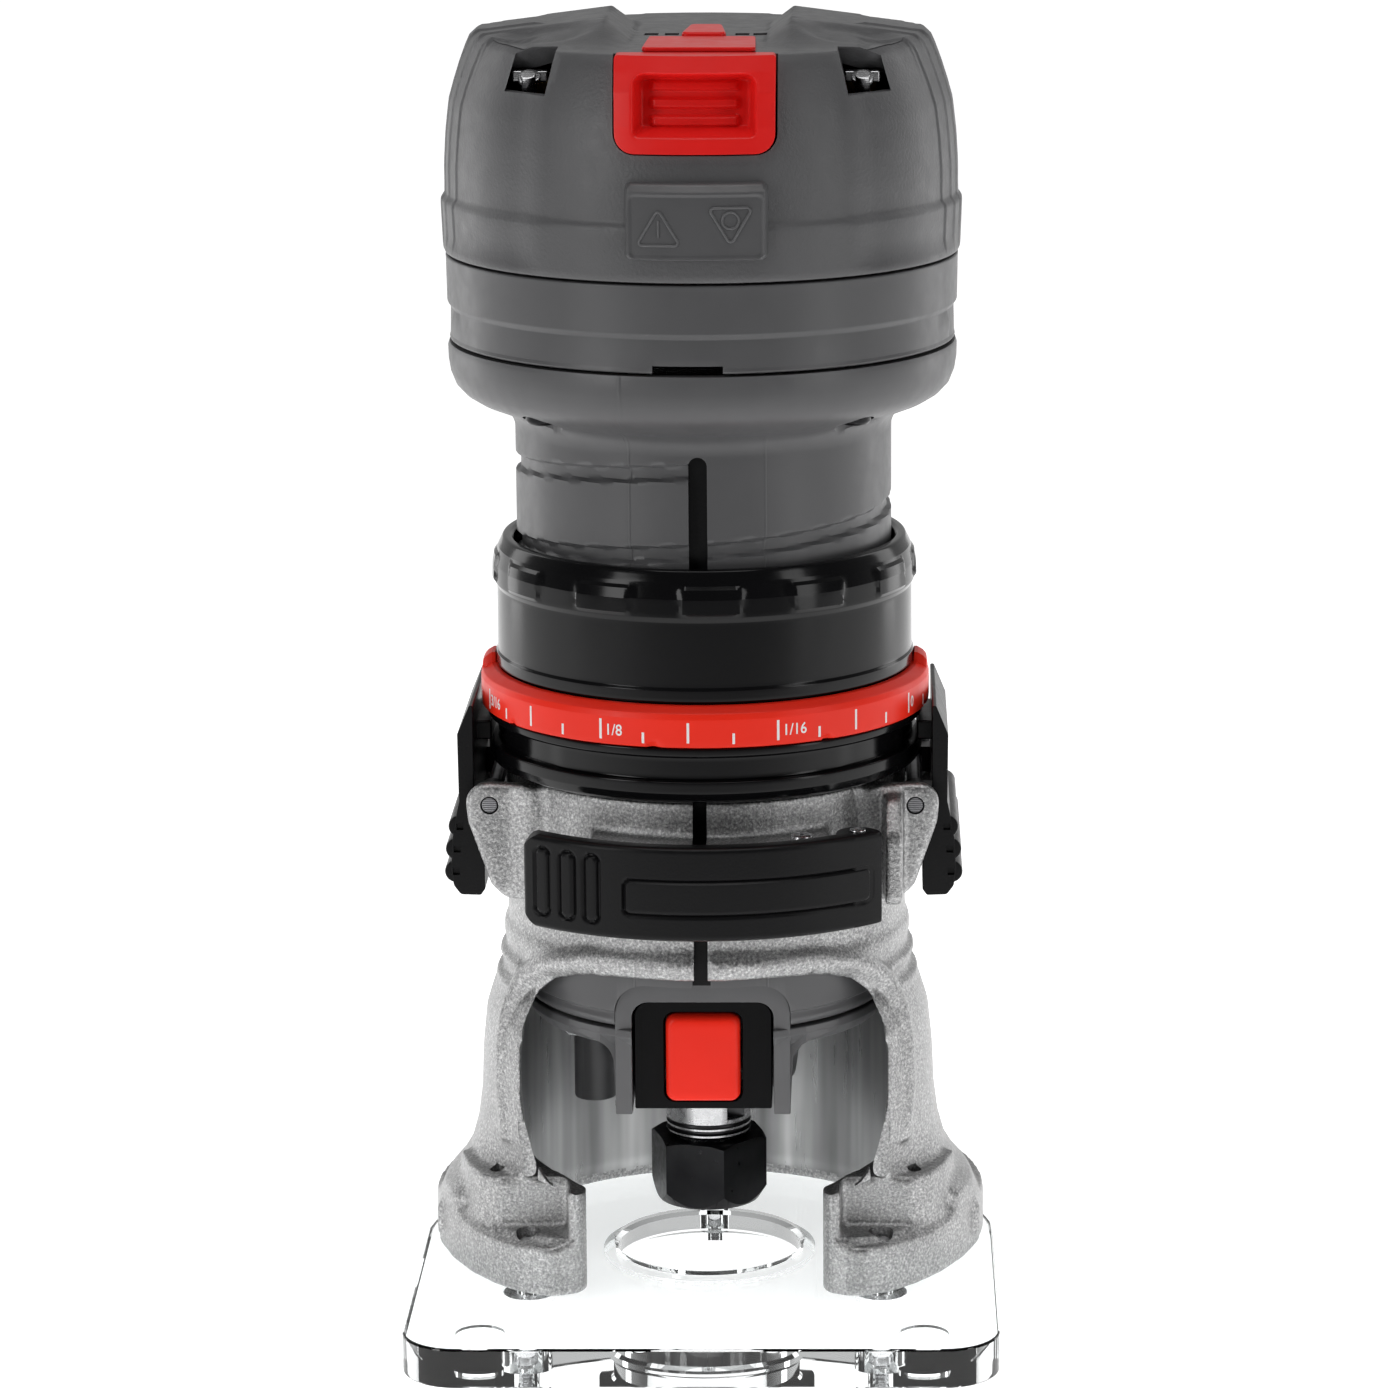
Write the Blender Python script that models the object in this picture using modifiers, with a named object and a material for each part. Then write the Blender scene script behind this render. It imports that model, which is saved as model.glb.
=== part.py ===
"""Compact fixed-base router (laminate trimmer), built as an assembly.

Metres, +Z up.  The tool axis is the world Z axis and the underside of the
clear sub-base is Z = 0.  X runs to the operator's right, -Y is the front.
All lengths below are written in millimetres and scaled by MM.
"""
import math

import bmesh
import bpy
from mathutils import Matrix, Vector

MM = 0.001

# ---------------------------------------------------------------- driving sizes
PLATE_W = 94.0          # sub-base width
PLATE_FRONT = -52.0     # front edge
PLATE_BACK = 52.0       # back of the round end
PLATE_T = 6.5           # 1/4 in acrylic
HOLE_R = 15.1           # bit hole, 1-3/16 in guide seat
SEAT_R = 17.5           # counterbore under it
CAST_Z0 = 6.65          # casting stands on the plate
CAST_Z1 = 89.1          # top of the clamp tube
TUBE_RI = 30.3          # clamp tube bore
TUBE_RO = 32.2
BARREL_R = 29.93        # motor barrel
BARREL_RI = 27.2
BARREL_Z0 = 50.9
SEAM_LOW = 157.5        # barrel bowl / band
SEAM_HIGH = 171.4       # band / top cap
TOP_Z = 208.5           # highest point of the ears
VALLEY_Z = 205.3        # valley between them
PITCH = 12.7            # depth thread, 1/2 in a turn
GROOVE_Z = 121.95       # groove height at the back when the tool is at rest
PIVOT = (24.6, -30.8)   # clamp lever pivot
NUT_C = (-10.0, -34.4)  # tie nut centre
BOLT_Z = 77.0
PIN_X, PIN_Z = 33.7, 85.4   # release latch pivots
LOCK_Z = 40.6           # spindle lock pin height
SEG = 36                # facets on a large turned part

# ---------------------------------------------------------------- clean start
for ob in list(bpy.data.objects):
    bpy.data.objects.remove(ob, do_unlink=True)

scene = bpy.context.scene
scene.unit_settings.system = 'METRIC'

parts = bpy.data.collections.new("compact_router")
cutters = bpy.data.collections.new("cutters")
scene.collection.children.link(parts)
scene.collection.children.link(cutters)


def material(name, colour, rough, metal=0.0, transmission=0.0):
    mat = bpy.data.materials.get(name)
    if mat:
        return mat
    mat = bpy.data.materials.new(name)
    mat.use_nodes = True
    bsdf = mat.node_tree.nodes["Principled BSDF"]
    bsdf.inputs["Base Color"].default_value = (*colour, 1.0)
    bsdf.inputs["Roughness"].default_value = rough
    bsdf.inputs["Metallic"].default_value = metal
    bsdf.inputs["Transmission Weight"].default_value = transmission
    mat.diffuse_color = (*colour, 1.0)
    return mat


GREY = material("grey_plastic", (0.085, 0.085, 0.09), 0.55)
BLACK = material("black_plastic", (0.012, 0.012, 0.013), 0.3)
RED = material("red_plastic", (0.60, 0.025, 0.015), 0.38)
RING = material("ring_plastic", (0.75, 0.045, 0.02), 0.4)
CAST = material("cast_aluminium", (0.62, 0.62, 0.62), 0.45, 1.0)
STEEL = material("bright_steel", (0.55, 0.55, 0.56), 0.25, 1.0)
OXIDE = material("black_oxide_steel", (0.02, 0.02, 0.021), 0.35, 0.6)
CLEAR = material("clear_acrylic", (0.95, 0.97, 0.97), 0.05, 0.0, 0.9)
COPPER = material("copper_wire", (0.70, 0.30, 0.13), 0.4, 1.0)
BRASS = material("brass", (0.72, 0.50, 0.20), 0.35, 1.0)
CARBON = material("carbon", (0.03, 0.03, 0.03), 0.7)
LAMINATION = material("lamination_steel", (0.30, 0.30, 0.31), 0.5, 1.0)
RUBBER = material("black_rubber", (0.02, 0.02, 0.02), 0.8)

# ---------------------------------------------------------------- joint empties


def empty(name, place, parent=None):
    ob = bpy.data.objects.new(name, None)
    ob.empty_display_size = 0.01
    ob.location = Vector(place) * MM
    scene.collection.objects.link(ob)
    if parent:
        bpy.context.view_layer.update()
        ob.parent = parent
        ob.matrix_parent_inverse = parent.matrix_world.inverted()
    return ob


AX_BASE = empty("axis_base", (0, 0, 0))
AX_MOTOR = empty("axis_motor", (0, 0, 0), AX_BASE)
AX_COLLAR = empty("axis_depth_collar", (0, 0, 0), AX_BASE)
AX_DIAL = empty("axis_dial_ring", (0, 0, 0), AX_COLLAR)
AX_LEVER = empty("axis_clamp_lever", (*PIVOT, BOLT_Z), AX_BASE)
AX_LATCH = {s: empty("axis_release_latch_" + n, (s * PIN_X, 0, PIN_Z), AX_BASE)
            for s, n in ((-1, "left"), (1, "right"))}
AX_SWITCH = empty("axis_switch_slider", (0, -36, 198), AX_MOTOR)
AX_LOCK = empty("axis_spindle_lock", (0, -19, LOCK_Z), AX_MOTOR)
AX_SPINDLE = empty("axis_spindle", (0, 0, 0), AX_MOTOR)
AX_NUT = empty("axis_collet_nut", (0, 0, 0), AX_SPINDLE)

# ---------------------------------------------------------------- modelling help


def add(name, mesh, mat, place=(0, 0, 0), parent=None, cutter=False):
    """Link a mesh as one named object; lengths of place are millimetres."""
    ob = bpy.data.objects.new(name, mesh)
    ob.location = Vector(place) * MM
    if cutter:
        cutters.objects.link(ob)
        ob.hide_render = True
        ob.display_type = 'WIRE'
    else:
        parts.objects.link(ob)
        mesh.materials.append(mat)
        if parent:
            bpy.context.view_layer.update()
            ob.parent = parent
            ob.matrix_parent_inverse = parent.matrix_world.inverted()
    return ob


def finish_mesh(bm, name):
    bmesh.ops.scale(bm, vec=(MM, MM, MM), verts=bm.verts)
    mesh = bpy.data.meshes.new(name)
    bm.to_mesh(mesh)
    bm.free()
    return mesh


def smooth(ob, angle=35):
    ob.data.shade_smooth()
    ob.data.set_sharp_from_angle(angle=math.radians(angle))
    return ob


def box_mesh(name, size):
    bm = bmesh.new()
    bmesh.ops.create_cube(bm, size=1.0)
    bmesh.ops.scale(bm, vec=size, verts=bm.verts)
    return finish_mesh(bm, name)


def box(name, lo, hi, mat=None, parent=None, cutter=False, bevel=0.0):
    """A block between two corners, in millimetres."""
    size = [b - a for a, b in zip(lo, hi)]
    mid = [(a + b) / 2 for a, b in zip(lo, hi)]
    ob = add(name, box_mesh(name, size), mat, mid, parent, cutter)
    if bevel:
        mod = ob.modifiers.new("edges", 'BEVEL')
        mod.width = bevel * MM
        mod.segments = 1
    return ob


def rod(name, r, length, place, axis='Z', mat=None, parent=None, cutter=False,
        seg=16, r2=None, turn=0.0):
    """A cylinder (or cone frustum) centred on place, along one axis.

    turn spins it about its own axis; at 0 a hexagon has corners on +-Y.
    """
    bm = bmesh.new()
    bmesh.ops.create_cone(bm, cap_ends=True, cap_tris=False, segments=seg,
                          radius1=r, radius2=r if r2 is None else r2,
                          depth=length)
    bmesh.ops.rotate(bm, cent=(0, 0, 0), matrix=Matrix.Rotation(turn, 3, 'Z'),
                     verts=bm.verts)
    ob = add(name, finish_mesh(bm, name), mat, place, parent, cutter)
    if axis == 'X':
        ob.rotation_euler = (0, math.pi / 2, 0)
    elif axis == 'Y':
        ob.rotation_euler = (math.pi / 2, 0, 0)
    if not cutter:
        smooth(ob)
    return ob


def turned(name, profile, mat=None, parent=None, cutter=False, steps=SEG,
           closed=True, place=(0, 0, 0), turn=None):
    """A turned shape: its profile runs down the outer side, then back up."""
    mesh = bpy.data.meshes.new(name)
    pts = [(r * MM, 0.0, z * MM) for r, z in profile]
    n = len(pts)
    edges = [(i, i + 1) for i in range(n - 1)]
    if closed:
        edges.append((n - 1, 0))
    mesh.from_pydata(pts, edges, [])
    ob = add(name, mesh, mat, place, parent, cutter)
    mod = ob.modifiers.new("turn", 'SCREW')
    mod.axis = 'Z'
    mod.angle = 2 * math.pi
    mod.steps = steps
    mod.render_steps = steps
    mod.use_merge_vertices = True
    mod.merge_threshold = 0.000005
    mod.use_smooth_shade = True
    return ob


def outline_mesh(name, pts, depth):
    """A flat outline as a filled 2D curve with thickness, made a mesh."""
    curve = bpy.data.curves.new(name, 'CURVE')
    curve.dimensions = '2D'
    curve.fill_mode = 'BOTH'
    curve.extrude = depth / 2 * MM
    spline = curve.splines.new('POLY')
    spline.points.add(len(pts) - 1)
    for p, (x, y) in zip(spline.points, pts):
        p.co = (x * MM, y * MM, 0, 1)
    spline.use_cyclic_u = True
    tmp = bpy.data.objects.new(name + "_outline", curve)
    scene.collection.objects.link(tmp)
    bpy.context.view_layer.update()
    deps = bpy.context.evaluated_depsgraph_get()
    mesh = bpy.data.meshes.new_from_object(tmp.evaluated_get(deps))
    bpy.data.objects.remove(tmp, do_unlink=True)
    bm = bmesh.new()
    bm.from_mesh(mesh)
    bmesh.ops.remove_doubles(bm, verts=bm.verts, dist=1e-6)
    bmesh.ops.recalc_face_normals(bm, faces=bm.faces)
    bm.to_mesh(mesh)
    bm.free()
    mesh.name = name
    return mesh


def slab(name, pts, z0, z1, mat=None, parent=None, cutter=False):
    """An outline in plan, between two heights."""
    return add(name, outline_mesh(name, pts, z1 - z0), mat,
               (0, 0, (z0 + z1) / 2), parent, cutter)


def front_slab(name, pts, y0, y1, mat=None, parent=None, cutter=False):
    """An outline drawn in X and Z, between two depths."""
    ob = add(name, outline_mesh(name, pts, y1 - y0), mat,
             (0, (y0 + y1) / 2, 0), parent, cutter)
    ob.rotation_euler = (math.pi / 2, 0, 0)
    return ob


def tube(name, pts, r, mat=None, parent=None, cutter=False, res=2):
    """A round wire or rod along points; a cutter is welded into a mesh."""
    curve = bpy.data.curves.new(name, 'CURVE')
    curve.dimensions = '3D'
    curve.bevel_depth = r * MM
    curve.bevel_resolution = res
    curve.use_fill_caps = True
    spline = curve.splines.new('POLY')
    spline.points.add(len(pts) - 1)
    for p, co in zip(spline.points, pts):
        p.co = (co[0] * MM, co[1] * MM, co[2] * MM, 1)
    if not cutter:
        ob = bpy.data.objects.new(name, curve)
        parts.objects.link(ob)
        curve.materials.append(mat)
        if parent:
            bpy.context.view_layer.update()
            ob.parent = parent
            ob.matrix_parent_inverse = parent.matrix_world.inverted()
        return ob
    tmp = bpy.data.objects.new(name + "_path", curve)
    scene.collection.objects.link(tmp)
    bpy.context.view_layer.update()
    deps = bpy.context.evaluated_depsgraph_get()
    mesh = bpy.data.meshes.new_from_object(tmp.evaluated_get(deps))
    bpy.data.objects.remove(tmp, do_unlink=True)
    bm = bmesh.new()
    bm.from_mesh(mesh)
    bmesh.ops.remove_doubles(bm, verts=bm.verts, dist=1e-6)
    bmesh.ops.recalc_face_normals(bm, faces=bm.faces)
    bm.to_mesh(mesh)
    bm.free()
    return add(name, mesh, mat, (0, 0, 0), None, True)


def boolean(ob, other, operation='DIFFERENCE'):
    mod = ob.modifiers.new(operation.lower(), 'BOOLEAN')
    mod.operation = operation
    mod.solver = 'EXACT'
    mod.object = other
    return ob


def cut(ob, *others):
    for other in others:
        boolean(ob, other)
    return ob


def join(ob, *others):
    for other in others:
        boolean(ob, other, 'UNION')
    return ob


def arc(cx, cy, r, a0, a1, n):
    return [(cx + r * math.cos(math.radians(a0 + (a1 - a0) * i / n)),
             cy + r * math.sin(math.radians(a0 + (a1 - a0) * i / n)))
            for i in range(n + 1)]


def ring_profile(ro, ri, z0, z1):
    return [(ro, z1), (ro, z0), (ri, z0), (ri, z1)]


def coil(centre, r, length, turns, axis, per_turn=12):
    """Points of a helical spring along +X or +Y from centre."""
    pts = []
    n = int(turns * per_turn)
    for i in range(n + 1):
        a = 2 * math.pi * i / per_turn
        t = length * i / n
        c, s = r * math.cos(a), r * math.sin(a)
        if axis == 'X':
            pts.append((centre[0] + t, centre[1] + c, centre[2] + s))
        else:
            pts.append((centre[0] + c, centre[1] + t, centre[2] + s))
    return pts


# ================================================================ base body

# clear sub-base: straight sides, round back, small front corners
half = PLATE_W / 2
cy_back = PLATE_BACK - half
outline = (arc(-half + 9, PLATE_FRONT + 9, 9, 180, 270, 5)
           + arc(half - 9, PLATE_FRONT + 9, 9, 270, 360, 5)
           + arc(0, cy_back, half, 0, 180, 28))
sub_base = slab("sub_base_plate", outline, 0, PLATE_T, CLEAR, AX_BASE)
cut(sub_base,
    rod("bit_hole", HOLE_R, 20, (0, 0, 3), cutter=True, seg=40),
    rod("guide_seat", SEAT_R, 4.8, (0, 0, 0), cutter=True, seg=40))
SCREWS = {"left": (-28.3, -23.2), "right": (28.3, -23.2), "rear": (0, 43)}
for key, (x, y) in SCREWS.items():
    cut(sub_base,
        rod("screw_hole_" + key, 2.1, 20, (x, y, 3), cutter=True, seg=12),
        rod("screw_seat_" + key, 4.2, 7.2, (x, y, 0), cutter=True, seg=16))
for key, x in (("left", -35), ("right", 35)):
    cut(sub_base, rod("corner_recess_" + key, 4.0, 6.0, (x, -40, 0),
                      cutter=True, seg=16))
smooth(sub_base, 30)

# cast aluminium base: bell with a front window, clamp tube, feet and lugs
shell = [(TUBE_RO, CAST_Z1), (TUBE_RO, 62.5), (32.7, 61), (32.7, 55.8),
         (34.8, 51.7), (36.3, 47.6), (37.1, 38), (38.1, 28.4), (39.6, 22.9),
         (43.2, 18.7), (44.2, 15.2), (44.2, 9.5), (36.4, 9.5), (35.3, 22),
         (34.5, 40), (34.2, 51.5), (TUBE_RI, 55.0), (TUBE_RI, CAST_Z1)]
casting = turned("base_casting", shell, CAST, AX_BASE)
left_side = [(-19.2, -14), (-19.2, -24.5), (-20.6, -27.0), (-23.2, -28.3),
             (-26.2, -28.1), (-30.2, -25.9), (-34.0, -22.3), (-38.0, -17.0),
             (-41.8, -9.6), (-44.4, -2.0)]
flange = (left_side + arc(0, 5.5, 45.4, 180, 0, 26)
          + [(-x, y) for x, y in reversed(left_side)])
foot_ring = slab("foot_ring", flange, CAST_Z0, 15.4, cutter=True)
join(casting, foot_ring)
for s, n in ((-1, "left"), (1, "right")):
    xs = sorted((s * 19.25, s * 21.8))
    join(casting, box("foot_wall_" + n, (xs[0], -27.3, 8), (xs[1], -18, 24),
                      cutter=True))
# ears that carry the release latch pins
for s, n in ((-1, "left"), (1, "right")):
    for t, m in ((-1, "front"), (1, "rear")):
        pts = [(s * 25.9, 88.3), (s * 35.6, 88.3), (s * 37.2, 86.4),
               (s * 37.2, 83.6), (s * 33.2, 71.5), (s * 30.6, 70.2),
               (s * 25.9, 70.2)]
        ys = sorted((t * 16.7, t * 19.6))
        join(casting, front_slab("ear_%s_%s" % (n, m), pts, ys[0], ys[1],
                                 cutter=True))
# clamp lugs in front of the tube, either side of the split
ang = math.atan2(PIVOT[1] - NUT_C[1], PIVOT[0] - NUT_C[0])
ux, uy = math.cos(ang), math.sin(ang)
fx, fy = PIVOT[0] - 3.85 * ux, PIVOT[1] - 3.85 * uy     # bearing face
lug_left = arc(0, 0, 38.6, 270 - 27, 270 - 0.5, 6) + [(-0.3, -30.9)] \
    + arc(0, 0, 31.0, 269, 270 - 33, 4)
lug_right = arc(0, 0, 38.6, 270.5, 270 + 31.5, 8) \
    + [(fx + 1.0 * uy, fy - 1.0 * ux), (fx - 2.6 * uy, fy + 2.6 * ux)] \
    + arc(0, 0, 31.0, 270 + 38, 271, 5) + [(0.3, -30.9)]
join(casting, slab("lug_left", lug_left, 71, 83.6, cutter=True),
     slab("lug_right", lug_right, 71, 83.6, cutter=True),
     box("lever_guard", (28.7, -27.8, 70.8), (31.9, -17.5, 87.9), cutter=True))
# bore, split, window, screw holes
cut(casting,
    turned("front_cavity", [(29.2, 60), (29.2, 0), (0.0, 0), (0.0, 60)],
           cutter=True),
    slab("rear_cavity", arc(0, 0, 34.9, -12, 192, 20), 3, 20, cutter=True))
cut(casting, box("split", (-1.1, -45, 50), (1.1, -20, 95), cutter=True))
# front of the bell: feet trimmed to the foot outline, flat column faces, and
# the screw pockets behind the low front rims
for s, n in ((-1, "left"), (1, "right")):
    trim = [(s * -x, y) for x, y in left_side[2:]]
    trim = [(s * 17.0, -60), (s * 17.0, -27.0)] + trim \
        + [(s * 60, -2), (s * 60, -60)]
    cut(casting, slab("front_trim_" + n, trim, 0, 70, cutter=True))
    xs = sorted((s * 21.7, s * 32.6))
    cut(casting, box("screw_pocket_" + n, (xs[0], -60, 16.4),
                     (xs[1], -20.6, 40), cutter=True))
    xs = sorted((s * 18.0, s * 50.0))
    cut(casting, box("column_face_" + n, (xs[0], -60, 23.6),
                     (xs[1], -20.6, 47.5), cutter=True))
window = [(-18.9, 0), (-18.9, 24.2), (-22.5, 27.0), (-26.5, 30.5),
          (-28.9, 35.5), (-29.2, 41), (-29.0, 47), (-27.6, 52.0),
          (-24.5, 56.2), (-19.5, 59.0), (-10, 60.0)]
window = window + [(-x, z) for x, z in reversed(window)]
cut(casting, front_slab("window", window, -60, -9.5, cutter=True))
cut(casting, box("tube_bore_relief", (-0.6, -60, 20), (0.6, -30, 62), cutter=True))
bore = rod("tie_bore", 1.95, 60, ((PIVOT[0] + NUT_C[0]) / 2,
                                  (PIVOT[1] + NUT_C[1]) / 2, BOLT_Z),
           axis='X', cutter=True, seg=16)
bore.rotation_euler = (0, math.pi / 2, ang)
nut_pocket = box("nut_pocket", (-2.1, -8, -3.4), (2.1, 3.4, 3.4), cutter=True)
nut_pocket.location = Vector((NUT_C[0], NUT_C[1] - 2.3, BOLT_Z)) * MM
nut_pocket.rotation_euler = (0, 0, ang)
cut(casting, bore, nut_pocket)
for s, n in ((-1, "left"), (1, "right")):
    cut(casting, rod("latch_pin_bore_" + n, 1.45, 50, (s * PIN_X, 0, PIN_Z),
                     axis='Y', cutter=True, seg=12))
for key, (x, y) in SCREWS.items():
    cut(casting, rod("foot_hole_" + key, 2.0, 30, (x, y, 12), cutter=True,
                     seg=12))
cut(casting,
    rod("key_bore", 1.4, 14, (0, 33, 66), axis='Y', cutter=True, seg=12),
    rod("guard_hole", 2.2, 10, (30, -24, BOLT_Z), axis='X', cutter=True,
        seg=16))

# screws that hold the sub-base
for key, (x, y) in SCREWS.items():
    prof = [(0.0, 14.8), (1.75, 14.8), (1.75, 3.3), (3.7, 3.3), (3.7, 0.7),
            (0.0, 0.7)]
    sub_screw = turned("sub_base_screw_" + key, prof, STEEL, AX_BASE,
                       steps=12, closed=False, place=(x, y, 0))

# tie bolt with its eye, nut and pivot pin
tie_len = math.dist(PIVOT, NUT_C)
shank = rod("tie_bolt", 1.6, tie_len + 0.6,
            ((PIVOT[0] + NUT_C[0]) / 2 - 2.0 * ux,
             (PIVOT[1] + NUT_C[1]) / 2 - 2.0 * uy, BOLT_Z), axis='X',
            mat=STEEL, parent=AX_BASE, seg=12)
shank.rotation_euler = (0, math.pi / 2, ang)
join(shank, rod("tie_eye", 3.2, 4.2, (*PIVOT, BOLT_Z), cutter=True, seg=20))
cut(shank, rod("tie_eye_bore", 1.55, 10, (*PIVOT, BOLT_Z), cutter=True, seg=16))
nut = rod("tie_nut", 2.9, 3.0, (*NUT_C, BOLT_Z), axis='X', mat=STEEL,
          parent=AX_BASE, seg=6, turn=math.radians(30))
nut.rotation_euler = (0, math.pi / 2, ang)
nut_bore = rod("tie_nut_bore", 1.75, 10, (*NUT_C, BOLT_Z), axis='X',
               cutter=True, seg=12)
nut_bore.rotation_euler = (0, math.pi / 2, ang)
cut(nut, nut_bore)
rod("lever_pivot_pin", 1.25, 15.6, (*PIVOT, BOLT_Z), mat=STEEL,
    parent=AX_BASE, seg=16)

# latch pins and springs, motor key
for s, n in ((-1, "left"), (1, "right")):
    rod("latch_pin_" + n, 1.2, 39.0, (s * PIN_X, 0, PIN_Z), axis='Y',
        mat=STEEL, parent=AX_BASE, seg=12)
    x0 = 32.6 if s > 0 else -37.6
    tube("latch_spring_" + n, coil((x0, 0, 75.0), 1.9, 5.0, 4, 'X', 8), 0.28,
         STEEL, AX_BASE, res=1)
rod("motor_key_pin", 1.15, 3.9, (0, 30.75, 66), axis='Y', mat=STEEL,
    parent=AX_BASE, seg=12)

# ================================================================ clamp lever
band = arc(0, 0, 42.0, 270 - 41.6, 270 + 36.5, 22) \
    + arc(0, 0, 39.2, 270 + 36.5, 270 - 40.5, 22)
lever = slab("clamp_lever", band, 69.2, 84.3, BLACK, AX_LEVER)
lever.matrix_parent_inverse = AX_LEVER.matrix_world.inverted()
join(lever, rod("lever_knuckle", 3.4, 15.1, (*PIVOT, 76.75), cutter=True,
                seg=24))
cut(lever,
    rod("lever_fork", 3.75, 4.9, (*PIVOT, BOLT_Z), cutter=True, seg=24),
    rod("lever_pin_bore", 1.5, 30, (*PIVOT, BOLT_Z), cutter=True, seg=16))
fork_gap = box("fork_gap", (-4.4, -2.0, -2.45), (0, 2.0, 2.45), cutter=True)
fork_gap.location = Vector((PIVOT[0] - 3.2 * ux, PIVOT[1] - 3.2 * uy,
                            BOLT_Z)) * MM
fork_gap.rotation_euler = (0, 0, ang)
cut(lever, fork_gap)
smooth(lever, 30)

# ================================================================ latches
for s, n in ((-1, "left"), (1, "right")):
    side = [(s * 36.4, 100.4), (s * 37.1, 100.4), (s * 38.9, 95.8),
            (s * 38.8, 84.3), (s * 39.9, 81.4), (s * 41.4, 74.0),
            (s * 40.6, 70.6), (s * 38.6, 69.5), (s * 34.9, 69.5),
            (s * 34.9, 81.5), (s * 36.4, 83.0)]
    latch = front_slab("release_latch_" + n, side, -15.6, 15.6, BLACK,
                       AX_LATCH[s])
    latch.matrix_parent_inverse = AX_LATCH[s].matrix_world.inverted()
    xs = sorted((s * 34.0, s * 36.9))
    hook = box("hook_" + n, (xs[0], -8, 93.35), (xs[1], 8, 96.6), cutter=True)
    join(latch, hook)
    for t, m in ((-1, "front"), (1, "rear")):
        ys = sorted((t * 11.2, t * 15.6))
        xs = sorted((s * 33.7, s * 37.2))
        knuckle = rod("latch_knuckle_%s_%s" % (n, m), 2.5, 4.4,
                      (s * PIN_X, t * 13.4, PIN_Z), axis='Y', cutter=True,
                      seg=16)
        join(latch, knuckle,
             box("latch_web_%s_%s" % (n, m), (xs[0], ys[0] + 0.01, 83.2),
                 (xs[1], ys[1] - 0.01, 87.6), cutter=True))
    xs = sorted((s * 30.0, s * 38.0))
    cut(latch,
        rod("latch_bore_" + n, 1.4, 60, (s * PIN_X, 0, PIN_Z), axis='Y',
            cutter=True, seg=12),
        rod("spring_pocket_" + n, 2.7, 6.4, (s * 35.0, 0, 75.0), axis='X',
            cutter=True, seg=16))

# ================================================================ depth collar
collar_profile = [(31.6, 126.0), (32.9, 124.4), (33.6, 120.4), (33.6, 118.2),
                  (33.25, 117.8), (33.25, 105.4), (32.75, 105.2),
                  (32.75, 98.4), (35.0, 98.4), (35.0, 97.1), (33.3, 97.0),
                  (33.3, 93.0), (34.9, 92.9), (34.9, 89.4), (30.35, 89.4),
                  (30.35, 126.0)]
collar = turned("depth_collar", collar_profile, BLACK, AX_COLLAR)
join(collar, rod("thread_nub", 0.75, 1.75, (0, 30.35, GROOVE_Z), axis='Y',
                 cutter=True, seg=12))

ring_prof = [(34.3, 104.9), (36.0, 103.0), (36.0, 98.7), (33.1, 98.7),
             (33.1, 104.9)]
turned("dial_ring", ring_prof, RING, AX_DIAL)

# ================================================================ motor
barrel_profile = [(40.3, SEAM_LOW - 0.1), (40.2, 153.5), (39.3, 150.9),
                  (38.2, 149.6), (36.2, 148.3), (32.6, 147.1),
                  (BARREL_R, 145.8), (BARREL_R, 51.9), (29.0, BARREL_Z0),
                  (BARREL_RI, BARREL_Z0), (BARREL_RI, 150.0), (34.0, 152.0),
                  (37.4, 153.2), (37.8, SEAM_LOW - 0.1)]
barrel = turned("motor_barrel", barrel_profile, GREY, AX_MOTOR, steps=40)
groove = []
a = -225.0
while a < 630.1:
    groove.append((BARREL_R * math.cos(math.radians(a)),
                   BARREL_R * math.sin(math.radians(a)),
                   GROOVE_Z + PITCH * (a - 90.0) / 360.0))
    a += 15.0
cut(barrel, tube("thread_groove", groove, 1.15, cutter=True, res=1))
key_slot = box("key_slot_front", (-1.45, -34, 48), (1.45, -28.4, 141.75),
               cutter=True)
cut(barrel, key_slot,
    rod("key_slot_end", 1.45, 5.6, (0, -31.2, 141.75), axis='Y', cutter=True,
        seg=12),
    box("key_slot_rear", (-1.5, 28.3, 40), (1.5, 34, 88), cutter=True),
    box("nose_notch", (-12.2, -34, 40), (12.2, -20, 56.2), cutter=True))
CAP_SCREWS = [(34.0 * math.cos(math.radians(a)), 34.0 * math.sin(math.radians(a)))
              for a in (45, 135, 225, 315)]
for i, (x, y) in enumerate(CAP_SCREWS):
    cut(barrel, rod("cap_hole_%d" % (i + 1), 1.9, 12, (x, y, 151), cutter=True,
                    seg=10),
        rod("cap_head_%d" % (i + 1), 3.1, 6, (x, y, 146.6), cutter=True,
            seg=12))

band_profile = [(40.45, SEAM_HIGH), (40.3, 163.2), (40.0, 162.4),
                (40.1, SEAM_LOW + 0.1), (31.5, SEAM_LOW + 0.1), (31.5, 160.0),
                (37.6, 160.6), (37.9, SEAM_HIGH)]
motor_band = turned("motor_band", band_profile, GREY, AX_MOTOR)
for i, (x, y) in enumerate(CAP_SCREWS):
    cut(motor_band, rod("band_hole_%d" % (i + 1), 1.8, 8, (x, y, 159),
                        cutter=True, seg=10))
    turned("cap_screw_%d" % (i + 1),
           [(0.0, 160.4), (1.5, 160.4), (1.5, 149.4), (2.7, 149.4),
            (2.7, 147.3), (0.0, 147.3)], STEEL, AX_MOTOR, steps=10,
           closed=False, place=(x, y, 0))

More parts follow.
